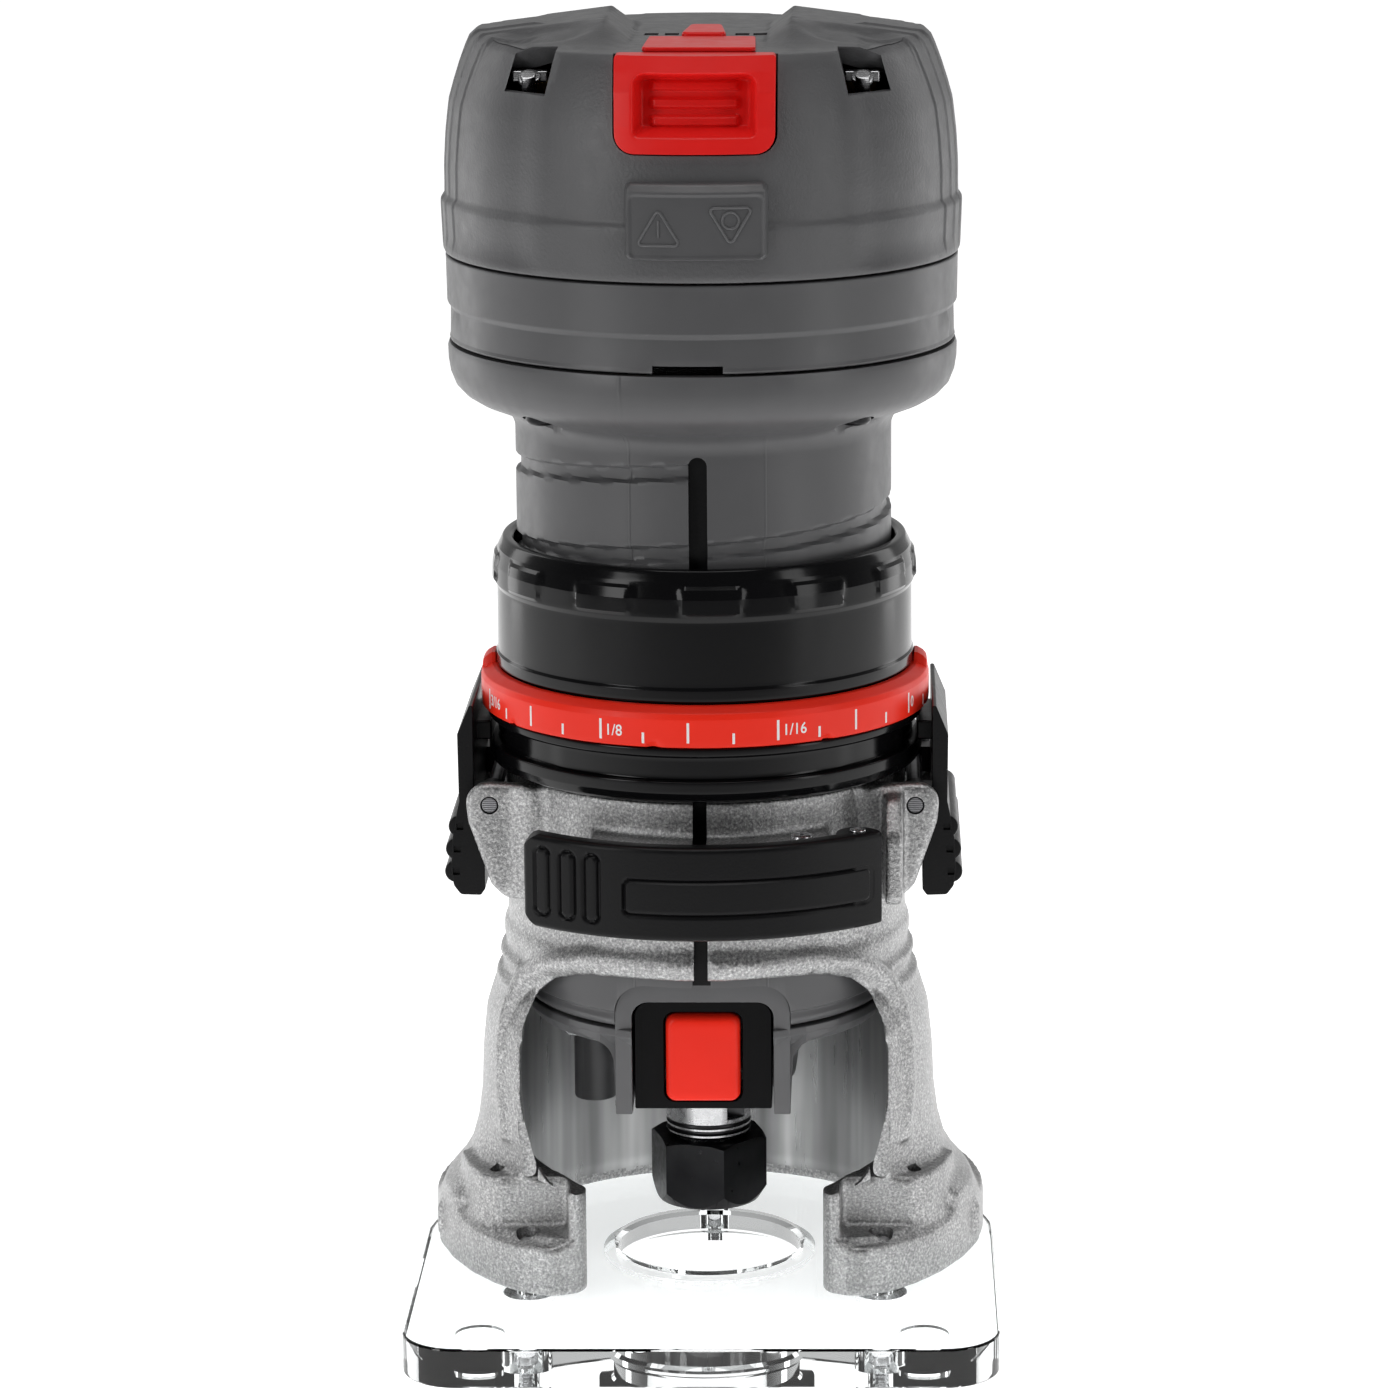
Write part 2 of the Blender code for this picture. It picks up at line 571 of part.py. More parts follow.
cap_profile = [(0.0, TOP_Z), (20.0, TOP_Z), (33.0, 206.4), (35.4, 205.4),
               (37.8, 200.4), (39.5, 195.4), (40.4, 185.0), (40.4, 180.6),
               (41.05, 179.6), (40.8, SEAM_HIGH + 0.2), (38.3, SEAM_HIGH + 0.2),
               (38.0, 194.0), (35.3, 200.0), (30.0, 202.9), (0.0, 202.9)]
cap = turned("top_cap", cap_profile, GREY, AX_MOTOR, closed=False)
cut(cap,
    box("valley", (-11, -60, VALLEY_Z), (11, 60, 220), cutter=True),
    box("switch_opening", (-12.4, -60, 190.7), (12.9, -30.2, 220), cutter=True))
for s, n in ((-1, "left"), (1, "right")):
    xs = sorted((s * 21.3, s * 28.7))
    cut(cap, box("vent_" + n, (xs[0], -45, 199.2), (xs[1], -22, 202.6),
                 cutter=True))
cut(cap, rod("gland_hole", 6.9, 16, (0, 40, 184), axis='Y', cutter=True,
             seg=20))

top_badge = box("top_badge", (-9.2, -29.6, 205.45), (9.2, -19.5, 206.3), RED,
                AX_MOTOR)

gland = turned("cord_gland", [(0.0, 0.0), (8.2, 0.0), (8.2, -2.2), (6.6, -2.2),
                              (6.6, -9.0), (0.0, -9.0)], RUBBER, AX_MOTOR,
               steps=20, closed=False)
gland.matrix_parent_inverse.identity()
gland.parent = None
gland.location = Vector((0, 43.3, 184)) * MM
gland.rotation_euler = (-math.pi / 2, 0, 0)
bpy.context.view_layer.update()
gland.parent = AX_MOTOR
gland.matrix_parent_inverse = AX_MOTOR.matrix_world.inverted()
cut(gland, rod("gland_bore", 3.3, 9, (0, 41.5, 184), axis='Y', cutter=True,
               seg=16))

# nose housing with the bearing seat, and the spindle lock in front of it
nose_profile = [(14.2, 53.0), (26.9, 53.0), (26.9, 50.6), (29.6, 50.6),
                (29.6, 48.4), (28.6, 47.6), (17.0, 47.4), (17.0, 43.0),
                (14.6, 40.0), (14.2, 35.4), (7.5, 35.4), (7.5, 43.1),
                (14.2, 43.1)]
nose_profile = nose_profile[1:] + nose_profile[:1]
nose = turned("nose_housing", nose_profile, GREY, AX_MOTOR, steps=32)
join(nose, rod("nose_post", 3.4, 18, (-19.0, 8.0, 39.2), cutter=True, seg=16))
cut(nose, box("bezel_seat", (-11.3, -34, 30), (11.3, -14.4, 60), cutter=True),
    rod("lock_pin_bore", 1.6, 12, (0, -12, LOCK_Z), axis='Y', cutter=True,
        seg=12))
NOSE_SCREWS = {"left": (-20.5, -9.5), "right": (21.0, 9.0)}
for key, (x, y) in NOSE_SCREWS.items():
    cut(nose, rod("nose_hole_" + key, 1.8, 20, (x, y, 50), cutter=True, seg=12))
    turned("nose_screw_" + key,
           [(0.0, 52.6), (1.5, 52.6), (1.5, 47.1), (2.9, 47.1), (2.9, 44.9),
            (0.0, 44.9)], STEEL, AX_MOTOR, steps=12, closed=False,
           place=(x, y, 0))

bezel = box("lock_bezel", (-10.9, -24.0, 36.8), (10.9, -14.7, 54.6), BLACK,
            AX_MOTOR)
cut(bezel, box("button_way", (-6.3, -30, 38.0), (6.3, -10, 52.8), cutter=True))

box("lock_button", (-5.9, -25.9, 38.35), (5.9, -19.2, 52.45), RED, AX_LOCK,
    bevel=0.8)
rod("lock_pin", 1.3, 11.2, (0, -13.3, LOCK_Z), axis='Y', mat=STEEL,
    parent=AX_LOCK, seg=12)
tube("lock_spring", coil((0, -18.7, LOCK_Z), 1.9, 4.0, 4, 'Y', 8), 0.28,
     STEEL, AX_LOCK, res=1)

# motor internals
stator = turned("stator_core", ring_profile(26.9, 17.5, 112, 160), LAMINATION,
                AX_MOTOR)
turned("stator_winding_top", [(24.6, 168.2), (25.6, 160.3), (18.2, 160.3),
                              (19.4, 168.2)], COPPER, AX_MOTOR, steps=24)
turned("stator_winding_bottom", [(25.6, 111.7), (24.6, 103.6), (19.4, 103.6),
                                 (18.2, 111.7)], COPPER, AX_MOTOR, steps=24)
turned("lower_bearing", ring_profile(13.95, 6.25, 43.4, 51.4), STEEL, AX_MOTOR,
       steps=24)
turned("upper_bearing", ring_profile(8.0, 4.2, 195.6, 201.2), STEEL, AX_MOTOR,
       steps=24)
bracket = turned("bearing_bracket", ring_profile(11.0, 8.25, 194.6, 202.6),
                 GREY, AX_MOTOR, steps=24)
for t, m in ((-1, "front"), (1, "rear")):
    ys = sorted((t * 9.5, t * 29.5))
    join(bracket, box("bracket_arm_" + m, (-4.5, ys[0], 199.6),
                      (4.5, ys[1], 202.59), cutter=True))

for s, n in ((-1, "left"), (1, "right")):
    xs = sorted((s * 11.6, s * 30.0))
    holder = box("brush_holder_" + n, (xs[0], -4.4, 178.0), (xs[1], 4.4, 188.0),
                 BRASS, AX_MOTOR)
    xs = sorted((s * 22.0, s * 27.5))
    join(holder, box("brush_terminal_" + n, (xs[0], -1.2, 187.0),
                     (xs[1], 1.2, 198.6), cutter=True))
    xs = sorted((s * 5.0, s * 28.4))
    cut(holder, box("brush_way_" + n, (xs[0], -2.9, 180.0), (xs[1], 2.9, 186.0),
                    cutter=True))
    xs = sorted((s * 10.35, s * 20.4))
    box("carbon_brush_" + n, (xs[0], -2.6, 180.3), (xs[1], 2.6, 185.7), CARBON,
        AX_MOTOR)
    x0 = 20.9 if s > 0 else -27.9
    tube("brush_spring_" + n, coil((x0, 0, 183.0), 1.9, 7.0, 5, 'X', 8), 0.25,
         STEEL, AX_MOTOR, res=1)

box("switch_module", (-8.0, -30.4, 182.0), (8.0, -13.5, 198.6), BLACK, AX_MOTOR)

# ================================================================ power switch
slider = box("switch_slider", (-11.9, -40.0, 191.2), (12.4, -30.9, 205.2), RED,
             AX_SWITCH)
boolean(slider, rod("head_round", 39.9, 60, (0, 0, 198), cutter=True, seg=SEG),
        'INTERSECT')
cut(slider, box("finger_pocket", (-9.3, -50, 193.4), (9.6, -35.9, 202.9),
                cutter=True))

# ================================================================ spindle
spindle_profile = [(0.0, 202.2), (3.95, 202.2), (3.95, 195.3), (5.0, 194.5),
                   (5.0, 53.0), (6.0, 52.4), (6.0, 43.2), (7.0, 43.0),
                   (7.0, 25.9), (5.5, 25.6), (5.5, 17.6), (4.5, 17.6),
                   (4.5, 31.0), (0.0, 31.0)]
spindle = turned("spindle_shaft", spindle_profile, STEEL, AX_SPINDLE, steps=24,
                 closed=False)
cut(spindle,
    rod("lock_hole_y", 1.9, 30, (0, 0, LOCK_Z), axis='Y', cutter=True, seg=12),
    rod("lock_hole_x", 1.9, 30, (0, 0, LOCK_Z), axis='X', cutter=True, seg=12))
turned("armature_core", ring_profile(16.6, 5.3, 114, 158), LAMINATION,
       AX_SPINDLE, steps=24)
turned("commutator", ring_profile(10.0, 5.3, 175.5, 190.5), COPPER, AX_SPINDLE,
       steps=24)
blades = []
for i in range(9):
    a = 40.0 * i
    blades += arc(0, 0, 25.3, a - 2.2, a + 2.2, 1)
    blades += arc(0, 0, 8.6, a + 7.0, a + 33.0, 1)
fan = slab("cooling_fan", blades, 84, 92, BLACK, AX_SPINDLE)
cut(fan, rod("fan_bore", 5.3, 20, (0, 0, 88), cutter=True, seg=24))
turned("collet", [(4.2, 29.5), (4.2, 14.9), (3.25, 14.9), (3.25, 29.5)], STEEL,
       AX_SPINDLE, steps=24)

# ================================================================ collet nut
hex_nut = rod("collet_nut", 9.81, 11.0, (0, 0, 19.8), mat=OXIDE, parent=AX_NUT,
              seg=6, turn=math.radians(16.2))
boolean(hex_nut, rod("nut_chamfer", 8.9, 14.0, (0, 0, 21.1), cutter=True,
                     seg=32, r2=12.6), 'INTERSECT')
cut(hex_nut, turned("nut_bore", [(5.95, 30), (5.95, 17.2), (4.65, 16.6),
                                 (4.65, 10), (0.0, 10), (0.0, 30)],
                    cutter=True, steps=24, closed=True))
hex_nut.data.shade_flat()
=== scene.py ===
"""Looks for the compact router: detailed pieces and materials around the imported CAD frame."""
import math

import bmesh
import bpy
from mathutils import Matrix, Vector


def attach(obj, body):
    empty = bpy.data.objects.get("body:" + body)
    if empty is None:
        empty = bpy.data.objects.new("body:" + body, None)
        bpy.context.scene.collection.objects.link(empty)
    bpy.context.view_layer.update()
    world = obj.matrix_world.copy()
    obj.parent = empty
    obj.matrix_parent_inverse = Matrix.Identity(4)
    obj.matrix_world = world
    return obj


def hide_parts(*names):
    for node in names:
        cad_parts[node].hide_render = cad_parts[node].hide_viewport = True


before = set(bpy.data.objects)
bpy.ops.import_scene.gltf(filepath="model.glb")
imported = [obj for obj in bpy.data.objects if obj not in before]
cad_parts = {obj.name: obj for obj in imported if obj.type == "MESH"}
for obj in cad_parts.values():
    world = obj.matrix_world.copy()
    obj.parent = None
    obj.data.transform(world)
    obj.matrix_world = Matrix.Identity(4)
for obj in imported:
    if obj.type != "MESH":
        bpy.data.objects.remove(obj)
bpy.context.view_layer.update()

S = 0.001
PI = math.pi
scene = bpy.context.scene

# ------------------------------------------------------------------ materials


def new_mat(name):
    m = bpy.data.materials.new(name)
    m.use_nodes = True
    nt = m.node_tree
    b = nt.nodes["Principled BSDF"]
    return m, nt, b


def node(nt, kind, **kw):
    n = nt.nodes.new(kind)
    for k, v in kw.items():
        setattr(n, k, v)
    return n


def noise(nt, scale, detail=4.0, rough=0.55, vec=None):
    n = node(nt, "ShaderNodeTexNoise")
    n.inputs["Scale"].default_value = scale
    n.inputs["Detail"].default_value = detail
    n.inputs["Roughness"].default_value = rough
    if vec is None:
        tc = node(nt, "ShaderNodeTexCoord")
        vec = tc.outputs["Object"]
    nt.links.new(vec, n.inputs["Vector"])
    return n


def ramp(nt, src, stops):
    r = node(nt, "ShaderNodeValToRGB")
    el = r.color_ramp.elements
    while len(el) > 1:
        el.remove(el[-1])
    el[0].position = stops[0][0]
    el[0].color = (*stops[0][1], 1)
    for p, c in stops[1:]:
        e = el.new(p)
        e.color = (*c, 1)
    nt.links.new(src, r.inputs[0])
    return r


def maprange(nt, src, a, b, lo, hi):
    m = node(nt, "ShaderNodeMapRange")
    m.inputs[1].default_value = a
    m.inputs[2].default_value = b
    m.inputs[3].default_value = lo
    m.inputs[4].default_value = hi
    nt.links.new(src, m.inputs[0])
    return m


def grey(v):
    return (v, v, v * 1.02)


def mul(c, k):
    return tuple(min(1.0, x * k) for x in c)


def moulded(name, col, rough=0.5, grain=2600.0, bump=0.25, depth=0.00006,
            vary=0.10, spec=0.5, edge_wear_and_highlight=0.35, coat=0.0):
    """Moulded plastic: fine grain, slow tone drift, and lighter edges that are part wear, part painted highlight."""
    m, nt, b = new_mat(name)
    big = noise(nt, 55.0, 3.0)
    c = ramp(nt, big.outputs[0], [(0.3, mul(col, 1 - vary)), (0.7, mul(col, 1 + vary))])
    geo = node(nt, "ShaderNodeNewGeometry")
    # painted highlight and wear: convex edges (pointiness) blend towards a lighter colour
    edge = maprange(nt, geo.outputs["Pointiness"], 0.515, 0.57, 0.0, edge_wear_and_highlight)
    mix = node(nt, "ShaderNodeMix", data_type='RGBA')
    nt.links.new(edge.outputs[0], mix.inputs[0])
    nt.links.new(c.outputs[0], mix.inputs[6])
    mix.inputs[7].default_value = (*[min(1, x * 1.6 + 0.03) for x in col], 1)
    nt.links.new(mix.outputs[2], b.inputs["Base Color"])
    mid = noise(nt, 420.0, 5.0)
    r = maprange(nt, mid.outputs[0], 0.3, 0.7, rough * 0.88, min(1, rough * 1.12))
    nt.links.new(r.outputs[0], b.inputs["Roughness"])
    g = noise(nt, grain, 2.0, 0.6)
    bp = node(nt, "ShaderNodeBump")
    bp.inputs["Strength"].default_value = bump
    bp.inputs["Distance"].default_value = depth
    nt.links.new(g.outputs[0], bp.inputs["Height"])
    nt.links.new(bp.outputs[0], b.inputs["Normal"])
    b.inputs["Specular IOR Level"].default_value = spec
    b.inputs["Coat Weight"].default_value = coat
    b.inputs["Coat Roughness"].default_value = 0.12
    return m


def metal(name, lo, hi, r0, r1, scale=900.0, bump=0.3, depth=0.00008,
          lines=0.0, axis='Z', tone=70.0):
    """Metal with grain, tone drift and, where turned, fine tool lines."""
    m, nt, b = new_mat(name)
    b.inputs["Metallic"].default_value = 1.0
    t = noise(nt, tone, 4.0)
    c = ramp(nt, t.outputs[0], [(0.3, lo), (0.7, hi)])
    nt.links.new(c.outputs[0], b.inputs["Base Color"])
    n = noise(nt, scale, 5.0, 0.65)
    r = maprange(nt, n.outputs[0], 0.3, 0.7, r0, r1)
    nt.links.new(r.outputs[0], b.inputs["Roughness"])
    h = n.outputs[0]
    if lines:
        w = node(nt, "ShaderNodeTexWave", wave_type='BANDS',
                 bands_direction=axis)
        w.inputs["Scale"].default_value = lines
        w.inputs["Distortion"].default_value = 0.6
        w.inputs["Detail"].default_value = 2.0
        tc = node(nt, "ShaderNodeTexCoord")
        nt.links.new(tc.outputs["Object"], w.inputs["Vector"])
        add = node(nt, "ShaderNodeMath", operation='ADD')
        nt.links.new(n.outputs[0], add.inputs[0])
        nt.links.new(w.outputs[1], add.inputs[1])
        h = add.outputs[0]
    bp = node(nt, "ShaderNodeBump")
    bp.inputs["Strength"].default_value = bump
    bp.inputs["Distance"].default_value = depth
    nt.links.new(h, bp.inputs["Height"])
    nt.links.new(bp.outputs[0], b.inputs["Normal"])
    return m


def sand_cast(name):
    """Bare aluminium from a sand-textured die: bright sparkle over pitted skin."""
    m, nt, b = new_mat(name)
    b.inputs["Metallic"].default_value = 1.0
    fine = noise(nt, 2300.0, 3.0, 0.7)
    t = noise(nt, 60.0, 4.0)
    c1 = ramp(nt, fine.outputs[0], [(0.30, (0.20, 0.20, 0.205)), (0.52, (0.42, 0.42, 0.42)),
                                    (0.70, (0.78, 0.78, 0.78))])
    c2 = ramp(nt, t.outputs[0], [(0.3, (0.84, 0.84, 0.84)), (0.7, (1.0, 1.0, 1.0))])
    mx = node(nt, "ShaderNodeMix", data_type='RGBA', blend_type='MULTIPLY')
    mx.inputs[0].default_value = 1.0
    nt.links.new(c1.outputs[0], mx.inputs[6])
    nt.links.new(c2.outputs[0], mx.inputs[7])
    nt.links.new(mx.outputs[2], b.inputs["Base Color"])
    r = maprange(nt, fine.outputs[0], 0.3, 0.7, 0.32, 0.50)
    nt.links.new(r.outputs[0], b.inputs["Roughness"])
    g = noise(nt, 2000.0, 3.0, 0.75)
    bp = node(nt, "ShaderNodeBump")
    bp.inputs["Strength"].default_value = 0.55
    bp.inputs["Distance"].default_value = 0.00022
    nt.links.new(g.outputs[0], bp.inputs["Height"])
    nt.links.new(bp.outputs[0], b.inputs["Normal"])
    return m


def streaked(name):
    """Aluminium with upright light and dark streaks painted in as reflections."""
    m, nt, b = new_mat(name)
    b.inputs["Metallic"].default_value = 1.0
    tc = node(nt, "ShaderNodeTexCoord")
    mp = node(nt, "ShaderNodeMapping")
    mp.inputs["Scale"].default_value = (1.0, 1.0, 0.06)
    nt.links.new(tc.outputs["Object"], mp.inputs["Vector"])
    t = noise(nt, 110.0, 3.0, 0.55, mp.outputs[0])
    # painted reflection: upright bands of dark and light grey in the base colour stand in for reflected light
    c = ramp(nt, t.outputs[0], [(0.32, (0.13, 0.13, 0.132)), (0.52, (0.34, 0.34, 0.342)), (0.68, (0.62, 0.62, 0.62))])
    nt.links.new(c.outputs[0], b.inputs["Base Color"])
    n = noise(nt, 900.0, 3.0, 0.6, mp.outputs[0])
    r = maprange(nt, n.outputs[0], 0.3, 0.7, 0.26, 0.36)
    nt.links.new(r.outputs[0], b.inputs["Roughness"])
    bp = node(nt, "ShaderNodeBump")
    bp.inputs["Strength"].default_value = 0.12
    bp.inputs["Distance"].default_value = 0.00004
    nt.links.new(n.outputs[0], bp.inputs["Height"])
    nt.links.new(bp.outputs[0], b.inputs["Normal"])
    return m


def acrylic(name):
    m, nt, b = new_mat(name)
    b.inputs["Transmission Weight"].default_value = 1.0
    b.inputs["IOR"].default_value = 1.49
    b.inputs["Base Color"].default_value = (0.965, 0.985, 0.985, 1)
    n = noise(nt, 90.0, 5.0)
    r = maprange(nt, n.outputs[0], 0.45, 0.75, 0.0, 0.05)
    nt.links.new(r.outputs[0], b.inputs["Roughness"])
    g = noise(nt, 35.0, 2.0)
    bp = node(nt, "ShaderNodeBump")
    bp.inputs["Strength"].default_value = 0.06
    bp.inputs["Distance"].default_value = 0.0004
    nt.links.new(g.outputs[0], bp.inputs["Height"])
    nt.links.new(bp.outputs[0], b.inputs["Normal"])
    return m


GREY = moulded("housing_grain", (0.088, 0.088, 0.091), 0.42, 1900, 0.75, 0.00009, 0.09, edge_wear_and_highlight=0.30)
GREY_S = moulded("housing_smooth", (0.082, 0.082, 0.085), 0.40, 1500, 0.12, 0.00005, 0.07, edge_wear_and_highlight=0.30)
GLOSS = moulded("black_gloss", (0.0035, 0.0035, 0.004), 0.15, 600, 0.10, 0.00004, 0.12, spec=0.26, edge_wear_and_highlight=0.03)
SATIN = moulded("black_satin", (0.0055, 0.0055, 0.006), 0.32, 2600, 0.40, 0.00006, 0.12, spec=0.16, edge_wear_and_highlight=0.05)
RED = moulded("red_switch", (0.80, 0.014, 0.012), 0.36, 1800, 0.16, 0.00005, 0.05, spec=0.3, edge_wear_and_highlight=0.10)
RED_B = moulded("red_button", (0.90, 0.022, 0.008), 0.34, 1800, 0.06, 0.00003, 0.03, spec=0.2, edge_wear_and_highlight=0.05)
RINGM = moulded("ring_red", (0.88, 0.026, 0.010), 0.38, 1800, 0.14, 0.00005, 0.04, spec=0.25, edge_wear_and_highlight=0.06)
MARK = moulded("mark_white", (0.83, 0.83, 0.83), 0.5, 1800, 0.1, 0.00003, 0.03, edge_wear_and_highlight=0.0)
CAST = sand_cast("sand_cast_aluminium")
MACH = metal("machined_aluminium", (0.30, 0.30, 0.305), (0.44, 0.44, 0.445), 0.20, 0.34, 260.0,
             0.16, 0.00004, lines=900.0)
MACH.node_tree.nodes["Principled BSDF"].inputs["Anisotropic"].default_value = 0.75
tg = node(MACH.node_tree, "ShaderNodeTangent", direction_type='RADIAL', axis='Z')
MACH.node_tree.links.new(tg.outputs[0], MACH.node_tree.nodes["Principled BSDF"].inputs["Tangent"])
BELL = streaked("aluminium_painted_streaks")
STEEL = metal("bright_steel", (0.52, 0.52, 0.53), (0.70, 0.70, 0.71), 0.20, 0.34, 700.0, 0.2,
              0.00004, lines=1100.0)
OXIDE = metal("black_oxide", (0.012, 0.012, 0.013), (0.030, 0.030, 0.031), 0.26, 0.42, 800.0,
              0.3, 0.00005)
# dark steel, used as painted shade on the spindle's flats and thread step
DARKST = metal("steel_painted_dark", (0.03, 0.03, 0.032), (0.07, 0.07, 0.072), 0.28, 0.40, 900.0, 0.2,
               0.00004)
LAM = metal("laminations", (0.20, 0.20, 0.21), (0.32, 0.32, 0.33), 0.4, 0.6, 500.0, 0.5, 0.0001,
            lines=1000.0)
COPPER = metal("copper_coil", (0.60, 0.24, 0.10), (0.78, 0.36, 0.17), 0.3, 0.45, 500.0, 0.6,
               0.0002, lines=700.0)
BRASS = metal("brass_strip", (0.60, 0.40, 0.15), (0.78, 0.56, 0.26), 0.25, 0.4, 500.0, 0.2)
BEZEL = moulded("black_bezel", (0.003, 0.003, 0.0034), 0.22, 900, 0.10, 0.00004, 0.12, spec=0.08, edge_wear_and_highlight=0.0)
CARBON = moulded("carbon_block", (0.02, 0.02, 0.02), 0.7, 1200, 0.4, 0.0001)
RUBBER = moulded("rubber_bush", (0.012, 0.012, 0.012), 0.72, 1200, 0.4, 0.0001)
CLEAR = acrylic("clear_acrylic")

# ------------------------------------------------------------------ mesh help


def link(name, me, mats=(), smooth=35.0):
    ob = bpy.data.objects.new(name, me)
    scene.collection.objects.link(ob)
    for m in mats:
        me.materials.append(m)
    if smooth:
        me.shade_smooth()
        me.set_sharp_from_angle(angle=math.radians(smooth))
    return ob


def from_bm(name, bm, mats=(), smooth=35.0, scale=S, fix=True):
    if fix:
        bmesh.ops.recalc_face_normals(bm, faces=bm.faces)
    if scale != 1:
        bmesh.ops.scale(bm, vec=(scale,) * 3, verts=bm.verts)
    me = bpy.data.meshes.new(name)
    bm.to_mesh(me)
    bm.free()
    return link(name, me, mats, smooth)


def bake(ob, smooth=35.0):
    bpy.context.view_layer.update()
    deps = bpy.context.evaluated_depsgraph_get()
    me = bpy.data.meshes.new_from_object(ob.evaluated_get(deps))
    ob.modifiers.clear()
    old = ob.data
    ob.data = me
    bpy.data.meshes.remove(old)
    if smooth:
        me.shade_smooth()
        me.set_sharp_from_angle(angle=math.radians(smooth))
    return ob


def boolop(ob, other, op='DIFFERENCE', solver='MANIFOLD', smooth=35.0, keep=False):
    m = ob.modifiers.new("b", 'BOOLEAN')
    m.operation = op
    m.solver = solver
    m.object = other
    bake(ob, smooth)
    if not keep:
        bpy.data.objects.remove(other, do_unlink=True)
    return ob


def cuts(ob, *others, smooth=35.0):
    for o in others:
        boolop(ob, o, smooth=smooth)
    return ob


def bevel(ob, w, seg=3, angle=35.0, smooth=35.0):
    m = ob.modifiers.new("bev", 'BEVEL')
    m.width = w * S
    m.segments = seg
    m.limit_method = 'ANGLE'
    m.angle_limit = math.radians(angle)
    m.harden_normals = False
    return bake(ob, smooth)


def fillet(pts, rad, seg=5, closed=False):
    """Round the corners of a 2D polyline; rad is one radius or one per point."""
    n = len(pts)
    out = []
    for i, p in enumerate(pts):
        r = rad[i] if isinstance(rad, (list, tuple)) else rad
        if (not closed and i in (0, n - 1)) or r <= 0:
            out.append(p)
            continue
        a = Vector(pts[i - 1]) - Vector(p)
        b = Vector(pts[(i + 1) % n]) - Vector(p)
        la, lb = a.length, b.length
        if la < 1e-6 or lb < 1e-6:
            out.append(p)
            continue
        a.normalize()
        b.normalize()
        cosang = max(-1.0, min(1.0, a.dot(b)))
        ang = math.acos(cosang)
        if ang > PI - 0.03 or ang < 0.05:
            out.append(p)
            continue
        t = min(r / math.tan(ang / 2), 0.46 * la, 0.46 * lb)
        rr = t * math.tan(ang / 2)
        bis = (a + b).normalized()
        c = Vector(p) + bis * (rr / math.sin(ang / 2))
        p0 = Vector(p) + a * t
        p1 = Vector(p) + b * t
        a0 = math.atan2(p0.y - c.y, p0.x - c.x)
        a1 = math.atan2(p1.y - c.y, p1.x - c.x)
        d = a1 - a0
        while d > PI:
            d -= 2 * PI
        while d < -PI:
            d += 2 * PI
        k = max(2, seg)
        for j in range(k + 1):
            aa = a0 + d * j / k
            out.append((c.x + rr * math.cos(aa), c.y + rr * math.sin(aa)))
    return out


def dense(pts, step, closed=False):
    out = []
    n = len(pts)
    for i in range(n if closed else n - 1):
        a, b = pts[i], pts[(i + 1) % n]
        k = max(1, int(math.ceil(math.dist(a, b) / step)))
        for j in range(k):
            out.append((a[0] + (b[0] - a[0]) * j / k, a[1] + (b[1] - a[1]) * j / k))
    if not closed:
        out.append(pts[-1])
    return out


def angles(n, extra=()):
    """n even angles, and finer ones inside each (centre, half, step) in degrees."""
    a = {round(360.0 * i / n, 4) for i in range(n)}
    for c, h, st in extra:
        k = int(round(2 * h / st))
        for j in range(k + 1):
            a.add(round((c - h + j * st) % 360.0, 4))
    a = sorted(a)
    out = [a[0]]
    for x in a[1:]:
        if x - out[-1] > 0.02:
            out.append(x)
    return out


def revolve(name, prof, n=180, mats=(), shape=None, closed=True, smooth=35.0,
            extra=()):
    """A turned skin; shape(phi_deg, r, z, k) may return a moved (r, z)."""
    bm = bmesh.new()
    degs = angles(n, extra)
    cols = []
    pole = {}
    for d in degs:
        c, s = math.cos(math.radians(d)), math.sin(math.radians(d))
        col = []
        for k, (r, z) in enumerate(prof):
            if not closed and r < 1e-6:
                if k not in pole:
                    zz = shape(d, 0.0, z, k)[1] if shape else z
                    pole[k] = bm.verts.new((0, 0, zz))
                col.append(pole[k])
                continue
            rr, zz = shape(d, r, z, k) if shape else (r, z)
            col.append(bm.verts.new((rr * c, rr * s, zz)))
        cols.append(col)
    m = len(prof)
    rng = range(m if closed else m - 1)
    for i in range(len(cols)):
        a, b = cols[i], cols[(i + 1) % len(cols)]
        for k in rng:
            q = [a[k], b[k], b[(k + 1) % m], a[(k + 1) % m]]
            u = []
            for v in q:
                if v not in u:
                    u.append(v)
            if len(u) >= 3:
                bm.faces.new(u)
    return from_bm(name, bm, mats, smooth)


def prism(name, pts, lo, hi, plane='XY', mats=(), smooth=35.0):
    """A flat outline between two depths; plane names the outline's axes."""
    bm = bmesh.new()

    def co(u, v, w):
        return {'XY': (u, v, w), 'XZ': (u, w, v), 'YZ': (w, u, v)}[plane]
    a = [bm.verts.new(co(u, v, lo)) for u, v in pts]
    b = [bm.verts.new(co(u, v, hi)) for u, v in pts]
    n = len(pts)
    bm.faces.new(a)
    bm.faces.new(list(reversed(b)))
    for i in range(n):
        bm.faces.new([a[i], a[(i + 1) % n], b[(i + 1) % n], b[i]])
    return from_bm(name, bm, mats, smooth)


def box(name, lo, hi, mats=(), bev=0.0, seg=3):
    bm = bmesh.new()
    bmesh.ops.create_cube(bm, size=1.0)
    for v in bm.verts:
        v.co = Vector([(a + b) / 2 + (b - a) * c for a, b, c in zip(lo, hi, v.co)])
    ob = from_bm(name, bm, mats, 35.0 if bev else 0)
    if bev:
        bevel(ob, bev, seg)
    return ob


